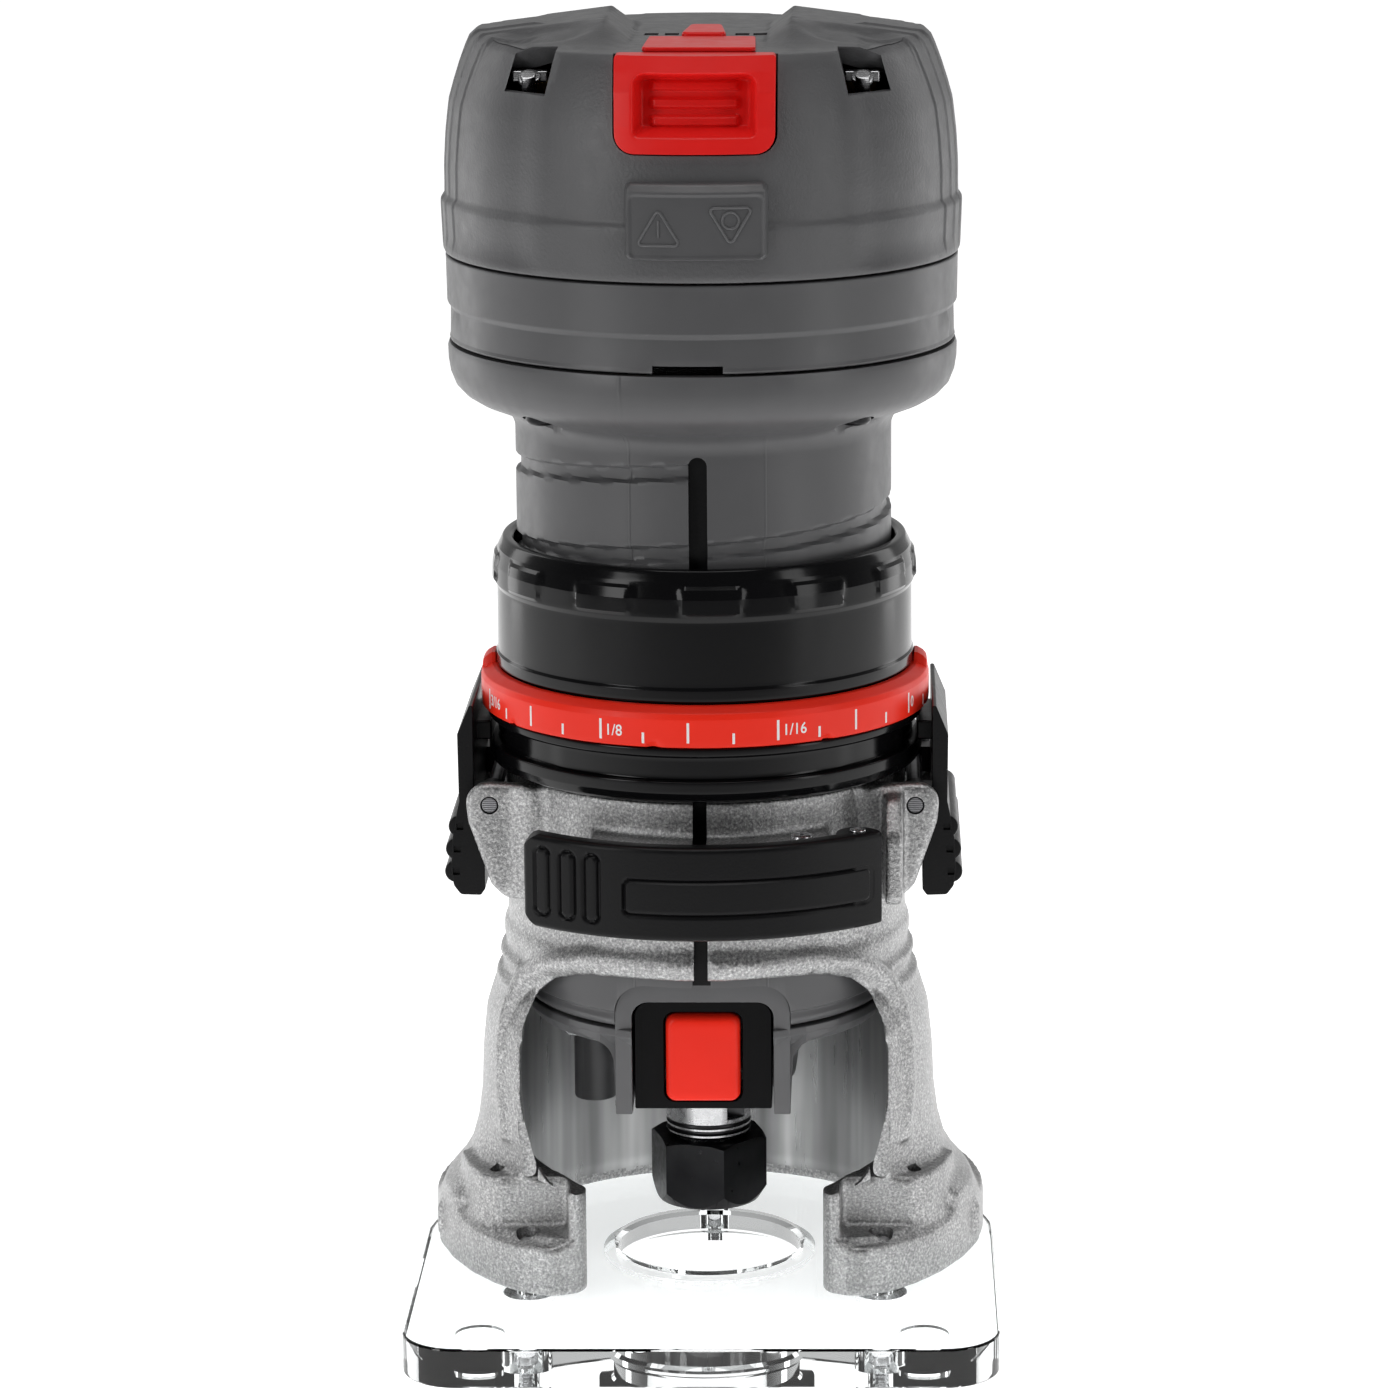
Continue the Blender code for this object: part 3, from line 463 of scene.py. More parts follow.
def cyl(name, r, p, length, axis='Z', mats=(), seg=32, r2=None, bev=0.0, turn=0.0):
    """A cylinder centred on p along an axis name or a vector."""
    bm = bmesh.new()
    bmesh.ops.create_cone(bm, cap_ends=True, segments=seg, radius1=r,
                          radius2=r if r2 is None else r2, depth=length)
    if turn:
        bmesh.ops.rotate(bm, cent=(0, 0, 0), matrix=Matrix.Rotation(turn, 3, 'Z'), verts=bm.verts)
    if isinstance(axis, str):
        v = {'X': (1, 0, 0), 'Y': (0, 1, 0), 'Z': (0, 0, 1)}[axis]
    else:
        v = axis
    q = Vector((0, 0, 1)).rotation_difference(Vector(v))
    bmesh.ops.rotate(bm, cent=(0, 0, 0), matrix=q.to_matrix(), verts=bm.verts)
    bmesh.ops.translate(bm, vec=p, verts=bm.verts)
    ob = from_bm(name, bm, mats)
    if bev:
        bevel(ob, bev, 2, 50)
    return ob


def sweep(name, path, r, seg=10, mats=(), cyclic=False):
    """A round tube along points, closed at its ends."""
    bm = bmesh.new()
    n = len(path)
    P = [Vector(p) for p in path]
    rings = []
    up = Vector((0.123, 0.456, 0.88)).normalized()
    for i in range(n):
        if cyclic:
            t = P[(i + 1) % n] - P[i - 1]
        else:
            t = P[min(i + 1, n - 1)] - P[max(i - 1, 0)]
        t.normalize()
        u = (up - t * up.dot(t)).normalized()
        w = t.cross(u)
        up = u
        rr = r(i) if callable(r) else r
        rings.append([bm.verts.new(P[i] + (u * math.cos(2 * PI * j / seg) + w * math.sin(2 * PI * j / seg)) * rr)
                      for j in range(seg)])
    for i in range(n if cyclic else n - 1):
        a, b = rings[i], rings[(i + 1) % n]
        for j in range(seg):
            bm.faces.new([a[j], a[(j + 1) % seg], b[(j + 1) % seg], b[j]])
    if not cyclic:
        bm.faces.new(rings[0])
        bm.faces.new(list(reversed(rings[-1])))
    return from_bm(name, bm, mats, 60)


def merge(name, obs, mats=(), smooth=35.0):
    """Join several meshes into one object, without any boolean."""
    bm = bmesh.new()
    for o in obs:
        bm.from_mesh(o.data)
        bpy.data.objects.remove(o, do_unlink=True)
    me = bpy.data.meshes.new(name)
    bm.to_mesh(me)
    bm.free()
    return link(name, me, mats, smooth)


def sstep(a, b, x):
    if a == b:
        return 1.0 if x >= b else 0.0
    t = max(0.0, min(1.0, (x - a) / (b - a)))
    return t * t * (3 - 2 * t)


def sd_box(x, y, cx, cy, hx, hy, r=0.0):
    """Signed distance to a rounded rectangle."""
    qx, qy = abs(x - cx) - hx + r, abs(y - cy) - hy + r
    return math.hypot(max(qx, 0), max(qy, 0)) + min(max(qx, qy), 0) - r


def interp(table, z):
    """Linear reading of a table of (z, value), z rising."""
    if z <= table[0][0]:
        return table[0][1]
    for (z0, v0), (z1, v1) in zip(table, table[1:]):
        if z <= z1:
            return v0 + (v1 - v0) * (z - z0) / (z1 - z0)
    return table[-1][1]


def arc(cx, cy, r, a0, a1, n):
    return [(cx + r * math.cos(math.radians(a0 + (a1 - a0) * i / n)),
             cy + r * math.sin(math.radians(a0 + (a1 - a0) * i / n))) for i in range(n + 1)]


def put(ob, body, *nodes, slot=None):
    mats_ = list(ob.data.materials)
    if mats_ and None in mats_:
        for p in ob.data.polygons:
            if mats_[p.material_index] is None:
                p.material_index = 0
        for i in range(len(mats_)):
            if mats_[i] is None:
                ob.data.materials[i] = mats_[0]
    if len(ob.data.polygons) < 60000:
        w = ob.modifiers.new("wn", 'WEIGHTED_NORMAL')
        w.keep_sharp = True
        w.weight = 60
        bake(ob, 0)
    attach(ob, body)
    if nodes:
        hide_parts(*nodes)
    return ob


# ------------------------------------------------------------------ camera
cam_data = bpy.data.cameras.new("camera")
cam = bpy.data.objects.new("camera", cam_data)
scene.collection.objects.link(cam)
cam.location = (0.02605, -0.7826, 0.281)
cam.rotation_euler = (math.radians(90 - 13.16), 0, 0)
cam_data.sensor_width = 36.0
cam_data.lens = 128.06
cam_data.shift_x = -0.1193
cam_data.clip_start = 0.01
cam_data.clip_end = 50.0
scene.camera = cam



# ================================================================== top cap
HEAD = [(171.6, 40.75), (173.0, 40.8), (178.4, 41.0), (179.4, 41.05), (180.1, 40.75), (180.6, 40.45), (182, 40.4),
        (185.3, 40.4), (190.3, 40.1), (195.4, 39.5), (197.9, 38.75), (200.4, 37.8),
        (202.9, 36.7), (204.4, 35.95), (205.0, 35.5)]


def head_r(z):
    return interp(HEAD, z)


def ribs_at(y):
    """Nested contour steps on both flanks, as a count from 0 to 3."""
    a = abs(y)
    return (1 - sstep(13.0, 13.5, a)) + (1 - sstep(8.6, 9.1, a)) + (1 - sstep(4.2, 4.7, a))


def top_z(x, y):
    ax = abs(x)
    s = sstep(-25, -10, y) * (1 - sstep(12, 27, y))
    wall = max(0.0, min(1.0, (ax - 10.3) / 4.1))
    lip = 3.2 - 2.5 * max(0.0, min(1.0, (ax - 14.6) / 19.0))
    z = 205.15 + wall * lip * s
    z += 0.30 * (ribs_at(y) - 1.5) * sstep(25.0, 25.8, ax)
    z -= 1.0 * wall * sstep(0.25, 0.6, 1 - math.hypot((ax - 23.5) / 11.5, (y + 13.5) / 9.0))
    if ax < 10.4:
        z += 0.1
    return z


cap_prof = [(r, 205.2) for r in (0, 2, 4, 6, 8, 9.4, 10.4, 11.2, 12, 12.8, 13.6, 14.4, 15.4, 16.8, 18.4, 20, 21,
                                 22, 23, 24.4, 26, 27.6, 29.2, 30.8, 32.2, 33.4, 34.2)]
NT = len(cap_prof)
cap_prof += [(34.75, 205.1), (35.15, 204.9), (35.5, 204.6)]
z = 204.0
while z > 181.0:
    cap_prof.append((head_r(z), z))
    z -= 1.2
cap_prof += [(40.43, 180.9), (40.5, 180.55), (40.75, 180.2), (41.0, 179.8), (41.05, 179.3), (41.02, 178.4),
             (40.95, 176.5), (40.88, 174.6), (40.82, 173.0), (40.75, 172.2), (40.55, 171.75), (40.2, 171.6),
             (38.5, 171.6), (38.3, 172.2), (38.2, 185), (38.0, 194), (35.3, 200), (30.0, 202.6), (20, 202.8),
             (0, 202.8)]
NO = next(i for i, p in enumerate(cap_prof) if p[1] < 171.7 and p[0] < 40.3)


def cap_shape(d, r, z, k):
    c, s = math.cos(math.radians(d)), math.sin(math.radians(d))
    x, y = r * c, r * s
    if k < NT:
        return r, top_z(x, y) if abs(x) > 0 or k == 0 else 205.25
    if k <= NO:
        side = sstep(0.55, 0.70, abs(c))
        low = sstep(171.6, 174.5, z)
        rib = ribs_at(y) - 3
        rr = r + side * rib * 0.26
        lift = 0.0
        if z > 196:
            w = sstep(196, 204.6, z)
            lift = (top_z(34.2 * c, 34.2 * s) - 205.15) * w
        # the ribs stand down onto the band below, fading out
        rr = r + (rr - r) * low
        return rr, z + lift
    return r, z


cap = revolve("cap_shell", cap_prof, 300, (GREY,), cap_shape, closed=False, smooth=38,
              extra=((270, 24, 0.6), (0, 26, 0.4), (180, 26, 0.4)))
sw_out = fillet([(-12.05, 190.75), (12.65, 190.75), (12.75, 215), (-12.15, 215)], [3.2, 3.2, 0, 0], 8, True)
sw_cut = prism("sw_cut", sw_out, -60, -31.0, 'XZ')
cuts(cap, sw_cut, smooth=38)
for s in (-1, 1):
    v = [(-60, 198.7), (-60, 212), (-22.9, 212), (-22.4, 205.2), (-19.6, 201.8), (-17.0, 200.5), (-17.0, 198.7)]
    vc = prism("vent_cut", fillet(v, [0, 0, 0, 1.0, 1.0, 0, 0], 4, True), 0, 1, 'YZ')
    for vert in vc.data.vertices:
        zz = vert.co.z / S
        lo = -29.1 + (zz - 198.7) * 0.30
        hi = -22.6 + (zz - 198.7) * 0.25
        t = 0 if vert.co.x < 0.5 * S else 1
        xx = lo if t == 0 else hi
        vert.co.x = (xx if s < 0 else -xx + 0.6) * S
    vc.data.update()
    bm = bmesh.new()
    bm.from_mesh(vc.data)
    bmesh.ops.recalc_face_normals(bm, faces=bm.faces)
    bm.to_mesh(vc.data)
    bm.free()
    cuts(cap, vc, smooth=38)
# slots across the valley, and the cord bush's hole
for i, x in enumerate((-7.6, -4.4, 6.6, 9.4)):
    cuts(cap, box("slot_cut", (x - 1.1, -4.0, 200), (x + 1.1, -0.6, 207)), smooth=38)
cuts(cap, cyl("gland_cut", 7.0, (0, 40, 184), 14, 'Y', seg=40), smooth=38)
put(cap, "motor", "top_cap", slot="housing")

# switch panel with the on and off symbols, and the frame step round it
panel_bm = bmesh.new()
NXP, NZP = 96, 56
grid = []
px0, px1, pz0, pz1 = -11.3, 12.2, 174.5, 187.7
for j in range(NZP + 1):
    z = pz0 + (pz1 - pz0) * j / NZP
    row = []
    for i in range(NXP + 1):
        x = px0 + (px1 - px0) * i / NXP
        cx, cz = 0.45, 181.05
        d = sd_box(x, z, cx, cz, 10.9, 6.15, 1.3)
        h = -1.2 + 2.9 * (1 - sstep(-0.6, 0.25, d))
        inner = sd_box(x, z, cx, 180.35, 10.1, 4.75, 0.9)
        h -= 0.28 * (1 - sstep(-0.25, 0.05, inner))
        # chamfered upper edge falls back onto the head
        if z > 185.4:
            h -= 1.25 * min(1.0, (z - 185.4) / 1.7) * (1 - sstep(-0.2, 0.3, d))
        R = head_r(min(max(z, 182), 186)) + 0.05 + h
        R = max(R, 39.2)
        row.append(panel_bm.verts.new((x, -math.sqrt(R * R - x * x), z)))
    grid.append(row)
for j in range(NZP):
    for i in range(NXP):
        panel_bm.faces.new([grid[j][i], grid[j][i + 1], grid[j + 1][i + 1], grid[j + 1][i]])
back = [[panel_bm.verts.new((v.co.x, -38.4, v.co.z)) for v in (row[0], row[-1])] for row in (grid[0], grid[-1])]
edge_loop = grid[0] + [r[-1] for r in grid[1:-1]] + list(reversed(grid[-1])) + [r[0] for r in reversed(grid[1:-1])]
bl = [panel_bm.verts.new((v.co.x, -37.0, v.co.z)) for v in edge_loop]
for row in back:
    for v in row:
        panel_bm.verts.remove(v)
ne = len(edge_loop)
for i in range(ne):
    panel_bm.faces.new([edge_loop[i], edge_loop[(i + 1) % ne], bl[(i + 1) % ne], bl[i]])
panel_bm.faces.new(bl)
panel = from_bm("switch_panel", panel_bm, (GREY_S,), 50)
put(panel, "motor", slot="housing")


def on_head(pts, rise, w, name, cyclic=True, R=41.90):
    """A fine raised line on the panel's face."""
    path = [(x, -math.sqrt(max(1.0, (R + rise) ** 2 - x * x)), zz) for x, zz in dense(pts, 0.5, cyclic)]
    return sweep(name, path, w * 1.15, 8, (GREY_S,), cyclic)


marks = [on_head(fillet([(-8.5, 177.5), (-1.9, 177.5), (-5.2, 183.0)], 0.5, 4, True), 0.0, 0.20, "m1"),
         on_head([(-5.2, 178.7), (-5.2, 181.3)], 0.0, 0.18, "m2", False),
         on_head(fillet([(2.3, 183.2), (9.0, 183.2), (5.65, 177.6)], 0.5, 4, True), 0.0, 0.20, "m3"),
         on_head(arc(5.65, 181.3, 1.25, 0, 348, 24), 0.0, 0.18, "m4")]
mk = merge("panel_symbols", marks, (GREY_S,), 60)
put(mk, "motor", slot="housing")

# ================================================================== switch
def sw_front(x, z):
    zz = min(max(z, 191.0), 205.6)
    R = interp([(190.5, 40.9), (195, 40.6), (200, 39.6), (203, 38.3), (205.6, 36.9)], zz)
    y = -math.sqrt(R * R - x * x)
    d = sd_box(x, z, 0.25, 198.15, 9.35, 4.75, 1.0 if z < 198 else 1.9)
    depth = 4.6 * (1 - sstep(-1.5, 0.10, d))
    for zc in (195.6, 198.2, 200.8):
        rib = (1 - sstep(0.45, 0.95, abs(z - zc))) * (1 - sstep(6.1, 7.0, abs(x - 0.25)))
        depth -= 0.75 * rib * (1 if d < -0.9 else 0)
    return y + max(0.0, depth)


sb = bmesh.new()
NX, NZ = 120, 84
rows = []
for j in range(NZ + 1):
    z = 190.6 + (205.7 - 190.6) * j / NZ
    rows.append([sb.verts.new((-12.4 + 25.2 * i / NX, sw_front(-12.4 + 25.2 * i / NX, z), z)) for i in range(NX + 1)])
for j in range(NZ):
    for i in range(NX):
        sb.faces.new([rows[j][i], rows[j][i + 1], rows[j + 1][i + 1], rows[j + 1][i]])
loop = rows[0] + [r[-1] for r in rows[1:-1]] + list(reversed(rows[-1])) + [r[0] for r in reversed(rows[1:-1])]
bk = [sb.verts.new((v.co.x, -31.1, v.co.z)) for v in loop]
for i in range(len(loop)):
    sb.faces.new([loop[i], loop[(i + 1) % len(loop)], bk[(i + 1) % len(loop)], bk[i]])
sb.faces.new(bk)
switch = from_bm("switch_body", sb, (RED,), 40)
so = fillet([(-11.75, 191.05), (12.3, 191.05), (12.4, 205.35), (-11.85, 205.35)], [2.9, 2.9, 0.6, 0.6], 8, True)
boolop(switch, prism("sw_int", so, -60, -20, 'XZ'), 'INTERSECT', smooth=40)
bevel(switch, 0.35, 3, 55, 45)
put(switch, "switch_slider", "switch_slider", slot="red_plastic")

# ================================================================== red plate in the valley
bt = prism("valley_plate", fillet([(-7.9, -30.6), (9.3, -30.6), (8.9, -13.2), (-7.5, -13.2)], 0.7, 4, True),
           205.3, 206.05, 'XY', (RED,))
bevel(bt, 0.22, 3)
put(bt, "motor", "top_badge", slot="red_plastic")
tab = prism("valley_tab", fillet([(-2.6, -12.8), (4.4, -12.8), (3.4, 0.6), (-1.6, 0.6)], 1.0, 4, True),
            205.3, 206.6, 'XY', (RED,))
bevel(tab, 0.4, 3)
put(tab, "motor", slot="red_plastic")

# brush gear seen through the side openings
for s, n in ((-1, "left"), (1, "right")):
    bits = [cyl("g1", 1.15, (s * 25.4, -23.4, 199.6), 4.2, (0, -0.5, 0.86), (STEEL,), 24, bev=0.2),
            cyl("g2", 1.75, (s * 25.4, -22.9, 200.6), 1.0, (0, -0.5, 0.86), (STEEL,), 24, bev=0.2),
            box("g3", (min(s * 22.6, s * 28.0), -22.2, 199.9), (max(s * 22.6, s * 28.0), -19.6, 201.6), (STEEL,), 0.3)]
    g = merge("brush_clip_" + n, bits, (STEEL,))
    put(g, "motor", slot="bright_steel")

# ================================================================== band
band_prof = fillet([(40.45, 171.25), (40.40, 170.4), (40.3, 163.75), (39.75, 163.0), (39.85, 158.6), (40.0, 158.0),
                    (39.7, 157.75), (37.9, 157.75), (37.9, 171.25)],
                   [0.3, 0.4, 0.7, 0.5, 0.3, 0.3, 0.2, 0, 0], 4, True)


def band_shape(d, r, z, k):
    if r < 39:
        return r, z
    c = abs(math.cos(math.radians(d)))
    y = r * math.sin(math.radians(d))
    lug = sstep(0.93, 0.95, c) * (1 - sstep(3.2, 3.5, abs(abs(y) - 12.5))) * sstep(158.8, 159.1, z) * (1 - sstep(161.6, 161.9, z))
    return r + 0.25 * lug, z


band = revolve("band_shell", dense(band_prof, 1.5, True), 240, (GREY_S,), band_shape, smooth=38,
               extra=((0, 26, 0.5), (180, 26, 0.5)))
cuts(band, box("snap_cut", (-6.4, -45, 157.0), (4.3, -37.0, 158.95)), smooth=38)
put(band, "motor", "motor_band", slot="housing")

# ================================================================== barrel and bowl
bowl = [(38.0, 157.3), (40.05, 157.3), (40.3, 156.6), (40.25, 154.6), (39.95, 152.7), (39.2, 150.8), (37.9, 149.4),
        (36.2, 148.35), (34.2, 147.55), (32.4, 146.9), (31.2, 146.2), (30.35, 145.1), (29.97, 144.0)]
bar = [(29.93, 143.2)]
z = 142.6
while z > 104.0:
    bar.append((29.93, z))
    z -= 0.42
bar += [(29.93, z) for z in range(102, 57, -3)]
bar += [(29.93, 55.4), (29.93, 54.2), (29.9, 53.6), (29.55, 53.35), (29.5, 52.9), (29.75, 52.4), (29.75, 51.9),
        (29.3, 51.2), (28.6, 50.95)]
inner = [(27.4, 50.95), (27.3, 60), (27.3, 100), (27.3, 140), (27.5, 149.8), (34.0, 151.8), (37.2, 153.2), (37.7, 156)]
bprof = bowl + bar + inner


def barrel_shape(d, r, z, k):
    if k >= len(bowl) + len(bar) or r < 28.5:
        return r, z
    phi = ((d + 90.0) % 360.0)                    # 0 at the front, rising to the right
    x = r * math.sin(math.radians(phi))
    front = phi < 90 or phi > 270
    rr = r
    # helical groove: follows the depth thread
    if 104 < z < 145 and k >= len(bowl) - 1:
        base = 121.95 + 12.7 * ((d - 90.0) / 360.0)
        for t in range(-2, 3):
            zc = base + 12.7 * t
            a = (zc - 121.95) / 12.7 * 360.0 + 90.0
            if -225.0 < a < 630.5:
                rr -= 0.85 * (1 - sstep(0.85, 1.35, abs(z - zc)))
    # mould lines
    if front:
        for xm in (-10.6, 10.4):
            xj = xm - (0.9 if z > 146 and xm < 0 else 0.0)
            rr += 0.09 * (1 - sstep(0.07, 0.20, abs(x - xj)))
    return rr, z


barrel = revolve("barrel_shell", bprof, 240, (GREY_S,), barrel_shape, smooth=40,
                 extra=((270 - 20.9, 1.6, 0.12), (270 + 20.2, 1.6, 0.12), (270, 6, 0.5), (270 - 17, 3, 0.25)))
slot_o = [(-1.45, 40), (1.45, 40), (1.45, 141.75)] + arc(0, 141.75, 1.45, 0, 180, 14)[1:-1] + [(-1.45, 141.75)]
sc = prism("slot_cut", slot_o, -36, -28.3, 'XZ')
cuts(barrel, sc, smooth=40)
cuts(barrel, box("slot_rear", (-1.5, 28.3, 40), (1.5, 34, 88)), smooth=40)
arch = fillet([(-13.95, 40), (13.95, 40), (13.95, 58.4), (-13.95, 58.4)], [0, 0, 5.2, 5.2], 10, True)
cuts(barrel, prism("nose_cut", arch, -36, -20, 'XZ'), smooth=40)
for a in (45, 135, 225, 315):
    x, y = 34.0 * math.cos(math.radians(a)), 34.0 * math.sin(math.radians(a))
    cuts(barrel, cyl("c", 3.1, (x, y, 146.6), 6, 'Z', seg=28), smooth=40)
# painted shade: the slot's floor and walls take black satin, darker than the grey barrel, for the shade in the recess
barrel.data.materials.append(SATIN)
for p in barrel.data.polygons:
    c = p.center / S
    if abs(c.x) < 1.47 and c.y < -27 and 50 < c.z < 143.3 and math.hypot(c.x, c.y) < 29.75:
        p.material_index = len(barrel.data.materials) - 1
put(barrel, "motor", "motor_barrel", slot="housing")

# ================================================================== screws
def screw(name, body, node_name, x, y, z_head, z_tip, r_head, r_shank, up, mat=STEEL):
    """Pan-head screw with a cross recess, head at z_head, shank towards z_tip."""
    sgn = 1 if z_tip > z_head else -1
    h = 1.9
    prof = [(0.0, 0.0), (r_head * 0.55, 0.0), (r_head * 0.85, 0.25), (r_head, 0.8), (r_head, h), (r_shank, h)]
    L = abs(z_tip - z_head)
    zz = h
    prof.append((r_shank, h + 0.3))
    zz = h + 0.6
    while zz < L - 0.9:
        prof += [(r_shank, zz), (r_shank * 0.82, zz + 0.35)]
        zz += 0.7
    prof += [(r_shank * 0.8, L - 0.3), (r_shank * 0.5, L), (0.0, L)]
    prof = [(r, z_head + sgn * z) for r, z in prof]
    ob = revolve(name, prof, 28, (mat,), closed=False, smooth=45)
    for v in ob.data.vertices:
        v.co.x += x * S
        v.co.y += y * S
    bmx = bmesh.new()
    bmx.from_mesh(ob.data)
    bmesh.ops.recalc_face_normals(bmx, faces=bmx.faces)
    bmx.to_mesh(ob.data)
    bmx.free()
    w = r_head * 0.18
    l = r_head * 0.55
    o = [(-w, -l), (w, -l), (w, -w), (l, -w), (l, w), (w, w), (w, l), (-w, l), (-w, w), (-l, w), (-l, -w), (-w, -w)]
    c = prism("x", [(x + a, y + b) for a, b in o], min(z_head - sgn * 1, z_head + sgn * 1.1),
              max(z_head - sgn * 1, z_head + sgn * 1.1), 'XY')
    cuts(ob, c, smooth=45)
    put(ob, body, node_name, slot="bright_steel")
    return ob


for i, a in enumerate((45, 135, 225, 315)):
    screw("cap_screw_body_%d" % (i + 1), "motor", "cap_screw_%d" % (i + 1), 34 * math.cos(math.radians(a)),
          34 * math.sin(math.radians(a)), 147.35, 160.4, 2.65, 1.45, True, OXIDE)
for n, x, y in (("left", -20.5, -9.5), ("right", 21.0, 9.0)):
    screw("nose_screw_body_" + n, "motor", "nose_screw_" + n, x, y, 44.95, 52.6, 2.85, 1.45, True)
for n, x, y in (("left", -28.3, -23.2), ("right", 28.3, -23.2), ("rear", 0, 43)):
    screw("sub_base_screw_body_" + n, "base", "sub_base_screw_" + n, x, y, 0.75, 14.8, 3.0, 1.7, True)

# ================================================================== depth collar
cp = fillet([(31.0, 126.0), (32.1, 126.0), (33.0, 124.2), (33.5, 121.6), (33.6, 118.7), (33.2, 117.9), (33.25, 107.6),
             (33.5, 107.2), (33.5, 105.4), (32.75, 105.2), (32.75, 98.4), (35.0, 98.35), (35.0, 97.2), (34.6, 96.8),
             (33.4, 96.7), (33.4, 93.2), (34.9, 93.0), (34.9, 91.2), (34.4, 89.9), (33.6, 89.4), (30.4, 89.4),
             (30.4, 125.5)],
            [0.5, 0.6, 0.6, 0.8, 0.5, 0.3, 0.2, 0.2, 0.2, 0, 0, 0.25, 0.3, 0.2, 0.2, 0.2, 0.2, 0.5, 0.4, 0.3, 0.3, 0.4],
            4, True)
cp = dense(cp, 0.55, True)


def collar_shape(d, r, z, k):
    if r < 31.5:
        return r, z
    rr = r
    if 117.9 < z < 124.6 and r > 32:
        p = ((d - 273.6 + 15) % 30) - 15
        x = math.radians(p) * 33.6
        half = 4.7 + (z - 118.8) * 0.12
        dd = sd_box(x, z, 0, 121.2, half, 2.35, 0.7)
        rr += 0.42 * (1 - sstep(-0.35, 0.1, dd))
    if z < 96.7 and z > 93.2 and r < 34.2:
        front = 1 - sstep(0.62, 0.72, abs(math.cos(math.radians(d))))
        rr += 0.4 * front
    return rr, z


collar = revolve("collar_shell", cp, 360, (GLOSS,), collar_shape, smooth=32)
nub = cyl("nub", 0.75, (0, 30.4, 121.95), 1.75, 'Y', (GLOSS,), 20)
boolop(collar, nub, 'UNION', 'MANIFOLD', 32)
put(collar, "depth_collar", "depth_collar", slot="black_gloss")

# ================================================================== dial ring
rp = dense(fillet([(34.2, 105.0), (35.7, 104.1), (36.0, 103.2), (36.0, 98.9), (35.7, 98.7), (33.1, 98.7),
                   (33.1, 105.0)], [0.3, 0.4, 0.4, 0.25, 0.2, 0, 0.2], 4, True), 0.6, True)


def ring_shape(d, r, z, k):
    rr, zz = r, z
    if r > 34.9:
        p = ((d - 270 + 33.75) % 45) - 22.5
        x = math.radians(p) * 36
        if z < 100.2:
            bite = 1 - sstep(0.5, 1.0, math.hypot(x, (z - 98.7)))
            rr -= 0.7 * bite
    if z > 103.5 and r > 33.5:
        t = (1 - sstep(4.0, 4.6, abs(((d - 180 + 90) % 180) - 90)))
        zz += 1.5 * t * sstep(103.5, 104.4, z)
    return rr, zz


ring = revolve("dial_body", rp, 360, (RINGM,), ring_shape, smooth=32)
put(ring, "dial_ring", "dial_ring", slot="dial_ring")


def wrap(bm, phi0, z0, R):
    for v in bm.verts:
        a = math.radians(phi0) + v.co.x / R
        v.co = Vector(((R + v.co.z) * math.cos(a), (R + v.co.z) * math.sin(a), z0 + v.co.y))


tick_bm = bmesh.new()
for i in range(32):
    d = 270 - 2.5 + 11.25 * i
    long_t = i % 2 == 0
    h = 3.4 if i % 4 == 2 or i % 4 == 0 else 1.7
    h = 3.2 if long_t else 1.7
    zlo = 99.35
    w = 0.20
    bmt = bmesh.new()
    bmesh.ops.create_cube(bmt, size=1.0)
    for v in bmt.verts:
        v.co = Vector((v.co.x * 2 * w, (v.co.y + 0.5) * h, (v.co.z + 0.5) * 0.05))
    wrap(bmt, d, zlo if not long_t else zlo + 0.2, 35.99)
    tmp = bpy.data.meshes.new("t")
    bmt.to_mesh(tmp)
    bmt.free()
    tick_bm.from_mesh(tmp)
    bpy.data.meshes.remove(tmp)
LABELS = ["1/8", "1/16", "0", "7/16", "3/8", "5/16", "1/4", "3/16"]
for i, text in enumerate(LABELS):
    d = 270 - 2.5 - 22.5 + 45 * i
    cu = bpy.data.curves.new("t", 'FONT')
    cu.body = text
    cu.size = 2.5 * S * 1000
    cu.extrude = 0.02
    cu.offset = 0.02
    cu.resolution_u = 3
    tob = bpy.data.objects.new("t", cu)
    scene.collection.objects.link(tob)
    bpy.context.view_layer.update()
    me = bpy.data.meshes.new_from_object(tob.evaluated_get(bpy.context.evaluated_depsgraph_get()))
    bmt = bmesh.new()
    bmt.from_mesh(me)
    bmesh.ops.remove_doubles(bmt, verts=bmt.verts, dist=1e-4)
    for v in bmt.verts:
        v.co.x = v.co.x * 0.92 + 0.75
    wrap(bmt, d, 100.3, 36.03)
    tmp = bpy.data.meshes.new("t")
    bmt.to_mesh(tmp)
    bmt.free()
    tick_bm.from_mesh(tmp)
    bpy.data.meshes.remove(tmp)
    bpy.data.objects.remove(tob, do_unlink=True)
ticks = from_bm("dial_marks", tick_bm, (MARK,), 30)
put(ticks, "dial_ring", slot="dial_ring")

